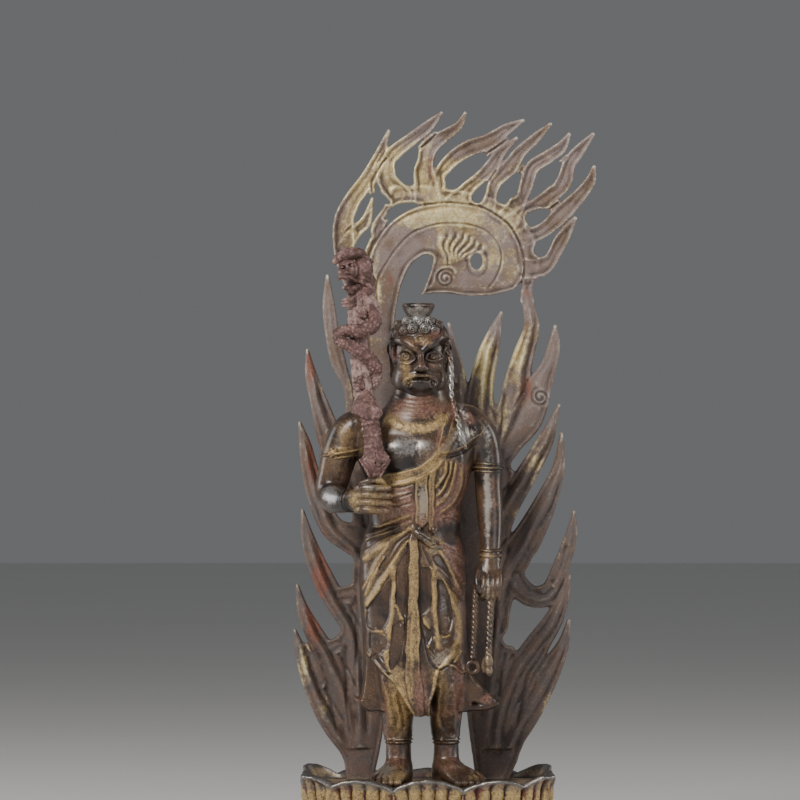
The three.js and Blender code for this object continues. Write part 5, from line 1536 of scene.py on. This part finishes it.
def add_leg(clay, side):
    """Ankle, anklet and broad unshod foot."""
    add, carve = clay.add, clay.carve
    x = -23 if side < 0 else 14.5
    toe_x = -35 if side < 0 else 35
    lean = (toe_x - x) / 34
    add(roll([(x, -6.6, 42, 10.6, 11.4), (x, -6, 30, 9.8, 10.6), (x, -6, 20, 10.2, 11.6),
        (x, -5, 10, 11.4, 14), (x, -4, 4, 11, 13.4)], 18), 1.5)
    for height in (38.6, 33.4):
        limb_ring(clay, (x, -6.4, height), (0, 0, 1), (10, 10.9), 1.1, 0.8)
    limb_ring(clay, (x, -6.4, 36), (0, 0, 1), (9.7, 10.6), 2.2, 0.6)
    add(ball((x + 7 * side, -14, 36), (2.2, 2.2, 2.4)), 0.4)
    add(ball((x - 3, -17, 36), (2.4, 1.6, 2.4)), 0.4)
    add(roll([(x, 8, 7, 9, 7), (x, 0, 11, 10.6, 10.4), (x + lean * 5, -12, 12, 11, 10),
        (x + lean * 15, -24, 8.8, 12, 7.4), (x + lean * 26, -36, 5.4, 12.6, 4.6)], 18, face=(0, 0, 1)), 2.5)
    # Sinews fan out from the ankle to the toes.
    for k in range(5):
        spread = (k - 2) * 5.0
        size = (3.5, 2.8, 2.7, 2.5, 2.3)[(4 - k) if side < 0 else k]
        far = -47.6 + 0.5 * abs(k - 1.6)
        tx = toe_x + spread - 1.2 * side
        add(roll([(x + spread * 0.42, -14.6, 21, 0.9), (x + lean * 10 + spread * 0.72, -23, 15.6, 1.2),
            (tx - lean * 6, -34, 9.6, 1.3), (tx, -41, 6.6, 1.7)], 14), 0.9)
        add(roll([(tx - lean * 3, -38, 5.4, size * 0.95), (tx, far + 2.4, 4.4, size),
            (tx + 0.3 * side, far - 2.4, 3.4, size * 0.9)], 9), 0.45)
        carve(roll([(tx - size * 0.45, far - 3.6, 5.6, 0.3), (tx, far - 3.2, 6.4, 0.35),
            (tx + size * 0.45, far - 3.6, 5.6, 0.3)], 6), 0.25)


# The sword's middle line runs from the fist to the point.
FIST = Vector((-44, -50, 227))
TIP = Vector((-60, -36, 410))


def sword_share(z):
    return (z - FIST.z) / (TIP.z - FIST.z)


def on_sword(t, side=0.0, ahead=0.0):
    """A point at a share t of the way from the fist to the point of the sword."""
    at = FIST.lerp(TIP, t)
    return (at.x + side, at.y - ahead, at.z)


def beside(x, ahead, z, *radii):
    """A knot at this x and z, so far in front of the sword's middle line."""
    return (x, on_sword(sword_share(z))[1] - ahead, z, *radii)


def bar(rows, count=8, face=(0, -1, 0)):
    """A roll along knots of x, distance ahead of the sword's middle line, z and radii."""
    return roll([beside(*row) for row in rows], count, face)


# The dragon's body from its neck down and about the blade to the tail.
COIL = [(-50, 0, 407, 5.6), (-47, -2, 396, 5.8), (-47, -3, 384, 5.6), (-42.6, -1, 373, 5.5),
    (-42.4, 4, 363, 5.2), (-52, 7, 358, 5.4), (-63, 6, 358.4, 5), (-70.4, 2.4, 355.4, 4.3),
    (-67, 6, 349.6, 4.4), (-55, 8, 343, 5.2), (-44, 5, 334.6, 5.2), (-40.4, -1, 324, 4.4),
    (-44, -7, 315, 3.8), (-52, -6, 311, 2.6)]
COIL_ROWS, SCALES_AROUND = 120, 9


def sculpt_sword(sizes):
    clay = Clay((-80, -64, 232), (-28, -20, 428), sizes.cell)
    add, carve = clay.add, clay.carve
    face = (-0.1, -1, 0)
    # Blade with a ridge along its middle, and the bell of the guard cut hollow underneath.
    add(roll([(*on_sword(0.36), 7.4, 2.2), (*on_sword(0.7), 7.4, 2), (*on_sword(0.93), 5, 1.8)], 16, face),
        0)
    add(roll([(*on_sword(0.36, -0.6, 1.6), 1.1), (*on_sword(0.92, -1, 1.4), 1.0)], 4), 1.4)
    add(bar([(-50, 1, 309, 6.6, 3), (-49, 2, 301, 9.6, 5), (-48.4, 2.4, 294.4, 12.4, 6.6),
        (-47.6, 2.4, 291.4, 12.2, 6.6)], 14, face), 1.4)
    carve(bar([(-66, 3, 291, 5, 10), (-49, 3, 285, 4.6, 12), (-31, 3, 281, 4.6, 10)], 10), 0.8)
    # Handle: a lumpy shaft that opens into a ribbed leaf and narrows into the fist.
    add(roll([(*on_sword(-0.06, 2), 2, 2), (*on_sword(0.06, 2), 2.6, 2.6), beside(-40.4, 1, 243, 3.4, 3),
        beside(-41, 1, 250, 8, 5), beside(-41.4, 1.4, 256.6, 11.8, 6), beside(-42.4, 1, 262, 8.4, 6),
        beside(-43, 1, 272, 6.8, 5.8), beside(-44.4, 1, 284, 6.8, 6), beside(-46, 1, 294, 7, 6)], 34, face),
        0.8)
    for x, z, rise in ((-43, 268, 1.1), (-43.8, 276.6, 1.4), (-45.2, 286, 1.6)):
        add(bar([(x - 6, 4, z - 1, 1.2), (x, 6.6, z, rise), (x + 6, 4, z + 1, 1.2)]), 1.2)
    for side in (-1, 1):
        x = -41.4
        add(bar([(x + 11.6 * side, 2, 257, 1.1), (x + 7 * side, 4, 249, 1.1),
            (x + 1.4 * side, 3.4, 240, 0.9)], 10), 0.6)
        for drop in (0, 3.4, 6.8):
            carve(bar([(x + 2 * side, 6.8, 250 - drop, 0.5), (x + 7.6 * side, 5, 256 - drop, 0.5)], 4), 0.5)
    carve(bar([(-41.2, 6.4, 262, 0.5), (-41, 6.6, 247, 0.6)], 6), 0.5)
    line = smooth([beside(*row) for row in COIL], COIL_ROWS)
    add(roll(line, COIL_ROWS), 0.9)
    # Scales stand in staggered rows around it.
    for i in range(2, COIL_ROWS - 2, 2):
        x, y, z, thick = line[i]
        along = Vector(line[i + 1][:3] - line[i - 1][:3]).normalized()
        side = along.cross(Vector((0, 1, 0))).normalized()
        front = side.cross(along)
        for k in range(SCALES_AROUND):
            turn = (k + 0.5 * (i // 2 % 2)) * 2 * math.pi / SCALES_AROUND
            spot = Vector((x, y, z)) + (side * math.cos(turn) + front * math.sin(turn)) * thick * 0.86
            add(ball(tuple(spot), 1.25), 0.35)
    # Feet with three toes that grip the blade.
    for x, z, reach in ((-60, 380.6, -7), (-53, 315.6, -5.6), (-52, 372, 4)):
        for toe in (-2.6, 0, 2.6):
            add(bar([(x - 0.2 * reach, 3, z + 0.5 * toe, 2), (x + 0.5 * reach, 4.6, z + toe, 1.7),
                (x + reach, 3, z + toe - 0.6, 0.9)]), 0.5)
    add(ball(beside(-61, 3, 389), (3.2, 3, 2.4)), 0.8)
    # Head: a heavy brow, deep-set eyes, a blunt muzzle and a ragged mane behind.
    add(ball(beside(-50.6, 0, 407), (7.4, 8, 12)), 1.5)
    add(ball(beside(-62.6, 5, 406), (8.6, 8, 8.4)), 2)
    add(bar([(-73, 7, 413, 2.8, 3.6), (-68, 6, 416.6, 4.4, 6.6), (-60, 4, 419, 5, 8),
        (-52.6, 1, 419.4, 3.6, 7)], 16), 1)
    add(ball(beside(-66, 12, 403.6), (4.2, 3.4, 3)), 1)
    add(bar([(-70.4, 9, 398.8, 1.2), (-66.4, 12.4, 401, 1.7), (-60, 11.6, 399.8, 1.4), (-56, 7, 397, 1)],
        12), 0.5)
    carve(ball(beside(-64.6, 10, 395.6), (6, 6, 2.8)), 0.8)
    add(bar([(-66, 6.4, 392, 1.4), (-60, 5, 391.4, 2), (-55, 2, 394, 2.4)]), 0.8)
    for x, z in ((-67.2, 408), (-59.4, 409.8)):
        carve(ball(beside(x, 12, z), (2.8, 3, 1.7)), 0.7)
        add(ball(beside(x, 9.9, z), (1.5, 1.5, 1.1)), 0.3)
    for i in range(7):
        z = 398 + 3.4 * i
        add(bar([(-56, 4, z, 1.6), (-49, 5.4, z - 2.4, 1.8), (-43.6, 2, z - 6, 1.0)]), 0.5)
    x, y, z = clay.axes()
    clay.field += (0.32 * wander(21, 2.6, x, y, z) + 0.26 * wander(22, 1.5, x, y, z)
                   + 0.3 * wander(23, 7, x, y, z))
    return clay


def lacquer_finish(look, name, gold_share, red_share, rubbed_and_sheen_share):
    """Glossy dark lacquer on bronze, with worn gilt, red lacquer, rubbed metal with painted highlights, and
    painted shade in the hollows.
    """
    p = Paint(name)
    edge, high, gold, red, bare = (p.mark(n) for n in ("edge", "height", "gold", "red", "bare"))
    patch = p.noise(9, 4, 0.6, 0.5)
    fleck = p.noise(1.9, 4, 0.7)
    grain = p.noise(0.6, 3, 0.6)
    speck = p.noise(0.9, 4, 0.65)
    broad = p.noise(26, 3, 0.5)
    coat = p.mix((broad * 0.6 + patch * 0.4).between(0.34, 0.58), look.black, look.brown)
    rust = (red * 0.9 + patch * 0.9 + fleck * 0.3 - 1.0 + red_share).between(0.0, 0.4)
    coat = p.mix(rust * 0.85, coat, p.mix(fleck.between(0.4, 0.65), look.red, look.rust))
    gilt = (gold * 0.7 + high * 0.22 + patch * 1.1 + fleck * 0.9 - 1.42 + gold_share).between(0, 0.6)
    leaf = p.mix((gold * 0.2 + fleck * 0.9 + patch * 0.9 + high * 0.2 - 0.42).between(0.25, 0.95),
                 look.tan, look.gold)
    leaf = p.mix((speck * 0.8 + patch * 0.7).between(0.66, 0.9) * 0.85, leaf, look.brown)
    coat = p.mix(gilt, coat, leaf)
    # Painted shade: the lacquer is darkened in hollows and creases, where shade falls.
    hollow_shade = (high * -1.0 - edge * 0.3).between(0.3, 1.0)
    coat = p.mix(hollow_shade * 0.8, coat, look.dark)
    glint = (speck * 1.1 + broad * 0.5 + gold_share - 0.97).between(0.0, 0.12)
    coat = p.mix(glint * 0.55, coat, look.tan)
    # Rubbed metal on worn edges, together with painted highlights where the marks lay them, such as the
    # sheen on the chest and the streak down the left forearm.
    rubbed = (bare * 0.9 + edge * 0.35 + patch * 0.5 + fleck * 0.8 - 1.22 + rubbed_and_sheen_share).between(0, 0.4)
    coat = p.mix(rubbed * 0.8, coat, p.mix(gold.held() * 0.5, look.silver, look.gold))
    rough = (0.24 + gilt * 0.26 + rust * 0.14 + hollow_shade * 0.25 + rubbed * 0.06 + grain * 0.14).held()
    metal = (gilt * 0.35 + rubbed * 0.75 + 0.08).held()
    surface = p.bump(fleck * 0.5 + grain * 0.35 + speck * gilt * 0.5, 0.2, 0.45)
    return p.finish({"Base Color": coat, "Roughness": rough, "Metallic": metal, "Normal": surface,
                     "Coat Weight": 0.25, "Coat Roughness": 0.25})


def sword_finish(look):
    """Red lacquer worn to a granular crust, with dusty pink on what stands out, dirt in the pits and painted
    shade in the hollows.
    """
    p = Paint("crusted red lacquer")
    edge, high, blade = p.mark("edge"), p.mark("height"), p.mark("blade")
    patch = p.noise(8, 4, 0.6, 0.6)
    fleck = p.noise(2.0, 5, 0.75)
    grain = p.noise(0.7, 3, 0.7)
    coat = p.mix((patch * 0.6 + fleck * 0.4).between(0.36, 0.6), look.brown, look.red)
    dust = (high * 0.2 + edge * 0.16 + fleck * 1.0 + patch * 1.1 + blade * 0.3 - 1.04).between(0.0, 0.45)
    coat = p.mix(dust * 0.85, coat, look.pink)
    # Dirt in the pits, and painted shade where the surface lies low.
    coat = p.mix((high * -0.9 - fleck * 1.1 + 0.42).between(0.0, 0.5) * 0.85, coat, look.dark)
    worn = (edge * 0.2 + fleck * 1.2 + patch * 0.5 + blade * 0.2 - 1.12).between(0.0, 0.4)
    coat = p.mix(worn * 0.7, coat, look.pale)
    rough = (0.5 + fleck * 0.25).held()
    surface = p.bump(fleck + grain * 0.6, 0.8, 0.8)
    return p.finish({"Base Color": coat, "Roughness": rough, "Metallic": 0.15, "Normal": surface})


def halo_finish(look):
    """Worn gold leaf over grey-mauve lacquer, with red left in places, pale rubbed rims made paler higher up
    as painted light, and painted shade on the lower flames and in the hollows.
    """
    p = Paint("worn gilt flames")
    edge, high, gold, red = (p.mark(n) for n in ("edge", "height", "gold", "red"))
    broad = p.noise(40, 3, 0.5)
    patch = p.noise(14, 4, 0.6, 0.6)
    fleck = p.noise(2.6, 4, 0.7)
    grain = p.noise(0.8, 3, 0.6)
    level = p.node("ShaderNodeSeparateXYZ", {}, {"Vector": p.place}, 2) + broad * 0.12
    under = p.mix((broad * 0.6 + patch * 0.4).between(0.4, 0.6), look.mauve, look.brown)
    under = p.mix((fleck * 0.8 + high * 0.15).between(0.4, 0.65) * 0.45, under, look.ash)
    # Painted shade: the lower flames, and a little the hollows, are darkened towards smoke and umber, where
    # less light falls on them.
    shade = p.mix(patch.between(0.35, 0.65), look.shade_smoke, look.shade_umber)
    under = p.mix((fleck * 0.4 - high * 0.1 + 0.95 - level.between(0.22, 0.62)).held() * 0.9,
                  under, shade)
    rust = (red * 0.95 + p.noise(20, 3, 0.6, 0.8) * 0.9 + fleck * 0.5 - 1.16).between(0.0, 0.45)
    under = p.mix(rust * 0.8, under, look.red)
    gilt = (gold * 0.6 + patch * 0.9 + fleck * 0.6 + high * 0.12 - red * 0.3 - 1.0).between(0.0, 0.45)
    leaf = p.mix((fleck * 0.8 + high * 0.2).between(0.3, 0.62), look.gold, look.pale_gold)
    coat = p.mix(gilt * 0.95, under, leaf)
    # Painted shade: the flames darken in their hollows and seams, where shade falls.
    hollow_shade = (high * -1.0 + patch * 0.2).between(0.12, 0.95)
    coat = p.mix(hollow_shade * 0.7, coat, look.dark)
    pits = (p.cells(1.7) * -1.0 + 0.55).between(0.22, 0.4) * fleck.between(0.42, 0.58)
    coat = p.mix(pits * 0.7, coat, look.dark)
    stain_mark = (p.noise(7, 5, 0.7, 0.4) - high * 0.12).between(0.56, 0.7)
    coat = p.mix(stain_mark * 0.45, coat, look.brown)
    # Pale rubbed rims on the edges, painted paler higher up as painted light on the upper flames.
    rubbed = (edge * 1.2 + fleck * 0.5 - 0.62).between(0.0, 0.6)
    coat = p.mix(rubbed * (0.22 + 0.4 * level.between(0.3, 0.6)), coat, look.silver)
    coat = p.mix(fleck.between(0.52, 0.7) * 0.35, coat, p.mix(0.5, coat, look.ash))
    rough = (0.56 - gilt * 0.1 - rubbed * 0.14 + grain * 0.16).held()
    metal = (gilt * 0.4 + rubbed * 0.35 + 0.12).held()
    surface = p.bump(fleck * 0.7 + grain * 0.35 - pits * 0.6, 0.45, 0.5)
    surface = p.bump(patch, 1.2, 0.3, surface)
    return p.finish({"Base Color": coat, "Roughness": rough, "Metallic": metal, "Normal": surface})


def plinth_finish(look):
    """Gold and tan ribs with dark red grooves and rolled rims of dark silvery metal, and painted shade in
    the hollows.
    """
    p = Paint("gilt lotus")
    z = p.node("ShaderNodeSeparateXYZ", {}, {"Vector": p.place}, 2)
    edge, high, rim = p.mark("edge"), p.mark("height"), p.mark("rim")
    patch = p.noise(11, 4, 0.6, 0.5)
    fleck = p.noise(2.2, 4, 0.7)
    grain = p.noise(0.8, 3, 0.6)
    speck = p.noise(1.2, 2, 0.5)
    gilt = (high * 0.4 + patch * 1.0 + fleck * 0.4).between(0.5, 0.85)
    groove = p.mix(patch.between(0.4, 0.6), look.red, look.dark)
    leaf = p.mix(fleck.between(0.35, 0.65), look.tan, look.gold)
    leaf = p.mix(speck.between(0.52, 0.66) * 0.6, leaf, look.red)
    coat = p.mix(gilt, groove, leaf)
    # Painted shade: the hollows between the ribs are darkened.
    coat = p.mix((high * -1.0).between(0.2, 0.9) * 0.8, coat, look.dark)
    coat = p.mix((rim * (0.5 + fleck * 0.8)).held(), coat, look.steel)
    top = z.between((TOP - 1.5) * MM, (TOP + 0.5) * MM) * (1.0 - rim)
    coat = p.mix((fleck + patch).between(0.75, 1.2) * top * 0.5, coat, look.steel)
    rubbed = (edge * 0.5 + fleck * 0.8 + rim * 0.25 - 0.6).between(0.1, 0.5)
    coat = p.mix(rubbed * 0.6, coat, look.silver)
    rough = (0.46 - rubbed * 0.12 + grain * 0.18 - rim * 0.14).held()
    metal = (gilt * 0.35 + rubbed * 0.45 + rim * 0.4 + 0.1).held()
    surface = p.bump(fleck * 0.8 + grain * 0.4 + speck * 0.4, 0.4, 0.5)
    return p.finish({"Base Color": coat, "Roughness": rough, "Metallic": metal, "Normal": surface})


# Sizes and colours that a user would change.


def tint(name, note, value):
    return FloatVectorProperty(name=name, description=note, default=value, subtype="COLOR",
                               size=3, min=0.0, max=1.0)


def cell_size(value):
    return FloatProperty(name="Cell", description="Size of a sculpting cell in millimetres",
                         default=value, min=0.2, max=3.0)


def face_budget(value):
    return IntProperty(name="Triangles", description="Most triangles the mesh may have",
                       default=value, min=2000, max=195000)


class HaloSettings(bpy.types.PropertyGroup):
    cell: cell_size(0.6)
    budget: face_budget(185000)
    gold: tint("Gold", "Old gold leaf", (0.50, 0.37, 0.16))
    pale_gold: tint("Pale gold", "Rubbed gold leaf", (0.78, 0.68, 0.40))
    mauve: tint("Mauve", "Grey-purple lacquer", (0.30, 0.225, 0.205))
    brown: tint("Brown", "Brown lacquer", (0.20, 0.13, 0.085))
    shade_smoke: tint("Smoke", "Dark lacquer of the lower flames", (0.090, 0.074, 0.072))
    shade_umber: tint("Umber", "Brown lacquer of the lower flames", (0.150, 0.100, 0.080))
    ash: tint("Ash", "Grey bloom on the lacquer", (0.44, 0.39, 0.35))
    red: tint("Red", "Orange-red lacquer", (0.23, 0.080, 0.050))
    dark: tint("Dark", "Dirt in the seams", (0.014, 0.010, 0.008))
    silver: tint("Silver", "Pale rubbed edges", (0.80, 0.74, 0.60))


class PlinthSettings(bpy.types.PropertyGroup):
    cell: cell_size(0.7)
    budget: face_budget(150000)
    gold: tint("Gold", "Gold leaf on the ribs", (0.55, 0.40, 0.17))
    tan: tint("Tan", "Worn leaf on the ribs", (0.34, 0.24, 0.12))
    red: tint("Red", "Dark red lacquer in the grooves", (0.10, 0.028, 0.022))
    dark: tint("Dark", "Dirt in the grooves", (0.016, 0.011, 0.010))
    steel: tint("Steel", "Dark silvery rim", (0.16, 0.15, 0.15))
    silver: tint("Silver", "Bare metal on worn edges", (0.62, 0.60, 0.57))


class FigureSettings(bpy.types.PropertyGroup):
    head_cell: cell_size(0.32)
    body_cell: cell_size(0.5)
    cloth_cell: cell_size(0.55)
    head_budget: face_budget(120000)
    body_budget: face_budget(170000)
    cloth_budget: face_budget(170000)
    gold: tint("Gold", "Gold leaf left on the folds", (0.55, 0.39, 0.175))
    tan: tint("Tan", "Worn leaf", (0.24, 0.145, 0.070))
    black: tint("Black", "Dark lacquer", (0.014, 0.011, 0.012))
    brown: tint("Brown", "Brown lacquer", (0.070, 0.041, 0.027))
    red: tint("Red", "Reddish lacquer", (0.12, 0.048, 0.034))
    rust: tint("Rust", "Dusty red-brown lacquer", (0.29, 0.155, 0.110))
    dark: tint("Dark", "Dirt in the hollows", (0.006, 0.004, 0.004))
    silver: tint("Silver", "Bare metal on rubbed places", (0.46, 0.44, 0.42))


class SwordSettings(bpy.types.PropertyGroup):
    cell: cell_size(0.38)
    budget: face_budget(90000)
    brown: tint("Brown", "Brown crust", (0.075, 0.042, 0.034))
    red: tint("Red", "Red lacquer", (0.180, 0.088, 0.078))
    pink: tint("Pink", "Dusty rubbed lacquer", (0.42, 0.285, 0.260))
    pale: tint("Pale", "Palest dust", (0.62, 0.52, 0.47))
    dark: tint("Dark", "Dirt in the pits", (0.016, 0.010, 0.009))


class StudioSettings(bpy.types.PropertyGroup):
    key: FloatProperty(name="Key", description="Power of the main soft light", default=62,
                       min=0, unit="POWER")
    fill: FloatProperty(name="Fill", description="Power of the soft fill light", default=12,
                        min=0, unit="POWER")
    rim: FloatProperty(name="Rim", description="Power of the side lights", default=12,
                       min=0, unit="POWER")
    sky: FloatProperty(name="Sky", description="Strength of the plain surroundings",
                       default=0.16, min=0)
    floor: tint("Floor", "Pale floor", (0.80, 0.79, 0.77))
    mottle: tint("Mottle", "Faint patches of the floor", (0.62, 0.61, 0.60))


class ACALA_OT_halo(bpy.types.Operator):
    """Sculpt and finish the flame halo"""
    bl_idname = "acala.halo"
    bl_label = "Flame halo"

    def execute(self, context):
        sizes = context.scene.acala_halo
        piece = build_mesh("halo_flames", *sculpt_halo(sizes).skin(), sizes.budget)
        at = positions(piece)
        for mark, dabs in (("gold", HALO_GOLD), ("red", HALO_RED)):
            value = sum(much * bump(np.hypot((at[:, 0] - x) / wide, (at[:, 2] - z) / tall), 1)
                        for x, z, wide, tall, much in dabs)
            stain(piece, mark, np.clip(value, 0, 1.2))
        relief(piece, 4, 18, 0.35, 0.6)
        dress(piece, "flame_halo", halo_finish(sizes))
        return {"FINISHED"}


class ACALA_OT_plinth(bpy.types.Operator):
    """Sculpt and finish the lotus plinth"""
    bl_idname = "acala.plinth"
    bl_label = "Lotus plinth"

    def execute(self, context):
        sizes = context.scene.acala_plinth
        piece = build_mesh("plinth_lotus", *sculpt_plinth(sizes).skin(), sizes.budget)
        at = positions(piece)
        across, _, wave, corner = petal_map(at[:, 0], at[:, 1])
        rim = step(-5.0, -3.0, at[:, 2] - petal_tip(wave, corner)) * step(-7, -4, across)
        stain(piece, "rim", rim)
        relief(piece, 2, 14, 0.2, 0.8)
        dress(piece, "lotus_plinth", plinth_finish(sizes))
        return {"FINISHED"}


def make_figure(name, clay, cloth, budget, material, fine=0.28, broad=0.7):
    """One piece of the figure, with the marks of its front and its worn lacquer."""
    piece = build_mesh(name, *clay.skin(), budget)
    at = positions(piece)
    front = 1 - step(MIDDLE_Y - 6, MIDDLE_Y + 4, at[:, 1])
    for mark in ("gold", "red", "bare"):
        stain(piece, mark, getattr(cloth, mark).at(at[:, 0], at[:, 2]) * front)
    relief(piece, 4, 16, fine, broad)
    dress(piece, "figure", material)


class ACALA_OT_head(bpy.types.Operator):
    """Sculpt and finish the head"""
    bl_idname = "acala.head"
    bl_label = "Head"

    def execute(self, context):
        sizes = context.scene.acala_figure
        worn = lacquer_finish(sizes, "lacquered head", 0.03, 0.08, 0.06)
        make_figure("figure_head", *sculpt_head(sizes), sizes.head_budget, worn, 0.2, 0.5)
        return {"FINISHED"}


class ACALA_OT_body(bpy.types.Operator):
    """Sculpt and finish the trunk, the arms and the lasso"""
    bl_idname = "acala.body"
    bl_label = "Trunk and arms"

    def execute(self, context):
        sizes = context.scene.acala_figure
        worn = lacquer_finish(sizes, "lacquered body", 0.14, 0.16, 0.14)
        make_figure("figure_body", *sculpt_torso(sizes), sizes.body_budget, worn)
        return {"FINISHED"}


class ACALA_OT_skirt(bpy.types.Operator):
    """Sculpt and finish the skirt, the legs and the feet"""
    bl_idname = "acala.skirt"
    bl_label = "Skirt and legs"

    def execute(self, context):
        sizes = context.scene.acala_figure
        worn = lacquer_finish(sizes, "lacquered cloth", 0.1, 0.06, 0.08)
        make_figure("figure_skirt", *sculpt_skirt(sizes), sizes.cloth_budget, worn)
        return {"FINISHED"}


class ACALA_OT_sword(bpy.types.Operator):
    """Sculpt and finish the sword with its coiled dragon"""
    bl_idname = "acala.sword"
    bl_label = "Dragon sword"

    def execute(self, context):
        sizes = context.scene.acala_sword
        piece = build_mesh("sword_dragon", *sculpt_sword(sizes).skin(), sizes.budget)
        at = positions(piece)
        share = sword_share(at[:, 2])
        stands = FIST.y + (TIP.y - FIST.y) * share - at[:, 1]
        flat = (1 - step(2.6, 3.6, stands)) * step(0.4, 0.46, share)
        stain(piece, "blade", flat * (1 - step(0.84, 0.9, share)))
        relief(piece, 3, 14, 0.25, 0.7)
        dress(piece, "dragon_sword", sword_finish(sizes))
        return {"FINISHED"}


class ACALA_OT_studio(bpy.types.Operator):
    """Set the pale floor, the soft lights and the camera"""
    bl_idname = "acala.studio"
    bl_label = "Studio"

    def execute(self, context):
        look = context.scene.acala_studio
        ground = bpy.data.meshes.new("floor")
        ground.from_pydata(FLOOR, [], [(0, 1, 2, 3)])
        floor = bpy.data.objects.new("floor", ground)
        context.scene.collection.objects.link(floor)
        p = Paint("pale floor")
        shade = p.noise(400, 2, 0.5)
        pale = p.mix(shade.between(0.3, 0.7) * 0.06, look.floor, look.mottle)
        floor.data.materials.append(p.finish({"Base Color": pale, "Roughness": 0.7}))
        for name, place, size, power, glow in SOFTBOXES:
            softbox(name, place, size, getattr(look, power), glow)
        world = bpy.data.worlds.new("surroundings")
        world.use_nodes = True
        sky = world.node_tree.nodes["Background"].inputs
        sky["Color"].default_value = SKY_COLOUR
        sky["Strength"].default_value = look.sky
        context.scene.world = world
        lens = bpy.data.cameras.new("camera")
        lens.lens, lens.sensor_width = LENS_MM, SENSOR_MM
        lens.clip_start, lens.clip_end = 0.1, 50
        camera = bpy.data.objects.new("camera", lens)
        camera.location = CAMERA_PLACE
        camera.rotation_euler = (math.pi / 2, 0, 0)
        context.scene.collection.objects.link(camera)
        context.scene.camera = camera
        return {"FINISHED"}


class ACALA_PT_panel(bpy.types.Panel):
    """Lists the makers of the figure's pieces"""
    bl_label = "Acala"
    bl_idname = "ACALA_PT_panel"
    bl_space_type = "VIEW_3D"
    bl_region_type = "UI"
    bl_category = "Acala"

    def draw(self, context):
        for maker in MAKERS:
            self.layout.operator(maker.bl_idname)


SETTINGS = {"acala_halo": HaloSettings, "acala_plinth": PlinthSettings,
            "acala_figure": FigureSettings, "acala_sword": SwordSettings,
            "acala_studio": StudioSettings}
MAKERS = (ACALA_OT_studio, ACALA_OT_halo, ACALA_OT_plinth, ACALA_OT_head, ACALA_OT_body,
          ACALA_OT_skirt, ACALA_OT_sword)


def register():
    for kind in (*SETTINGS.values(), *MAKERS, ACALA_PT_panel):
        bpy.utils.register_class(kind)
    for name, kind in SETTINGS.items():
        setattr(bpy.types.Scene, name, PointerProperty(type=kind))


def unregister():
    for name in SETTINGS:
        delattr(bpy.types.Scene, name)
    for kind in (ACALA_PT_panel, *MAKERS, *SETTINGS.values()):
        bpy.utils.unregister_class(kind)


def main():
    register()
    for maker in MAKERS:
        getattr(bpy.ops.acala, maker.bl_idname.split(".")[1])()


if __name__ == "__main__":
    main()
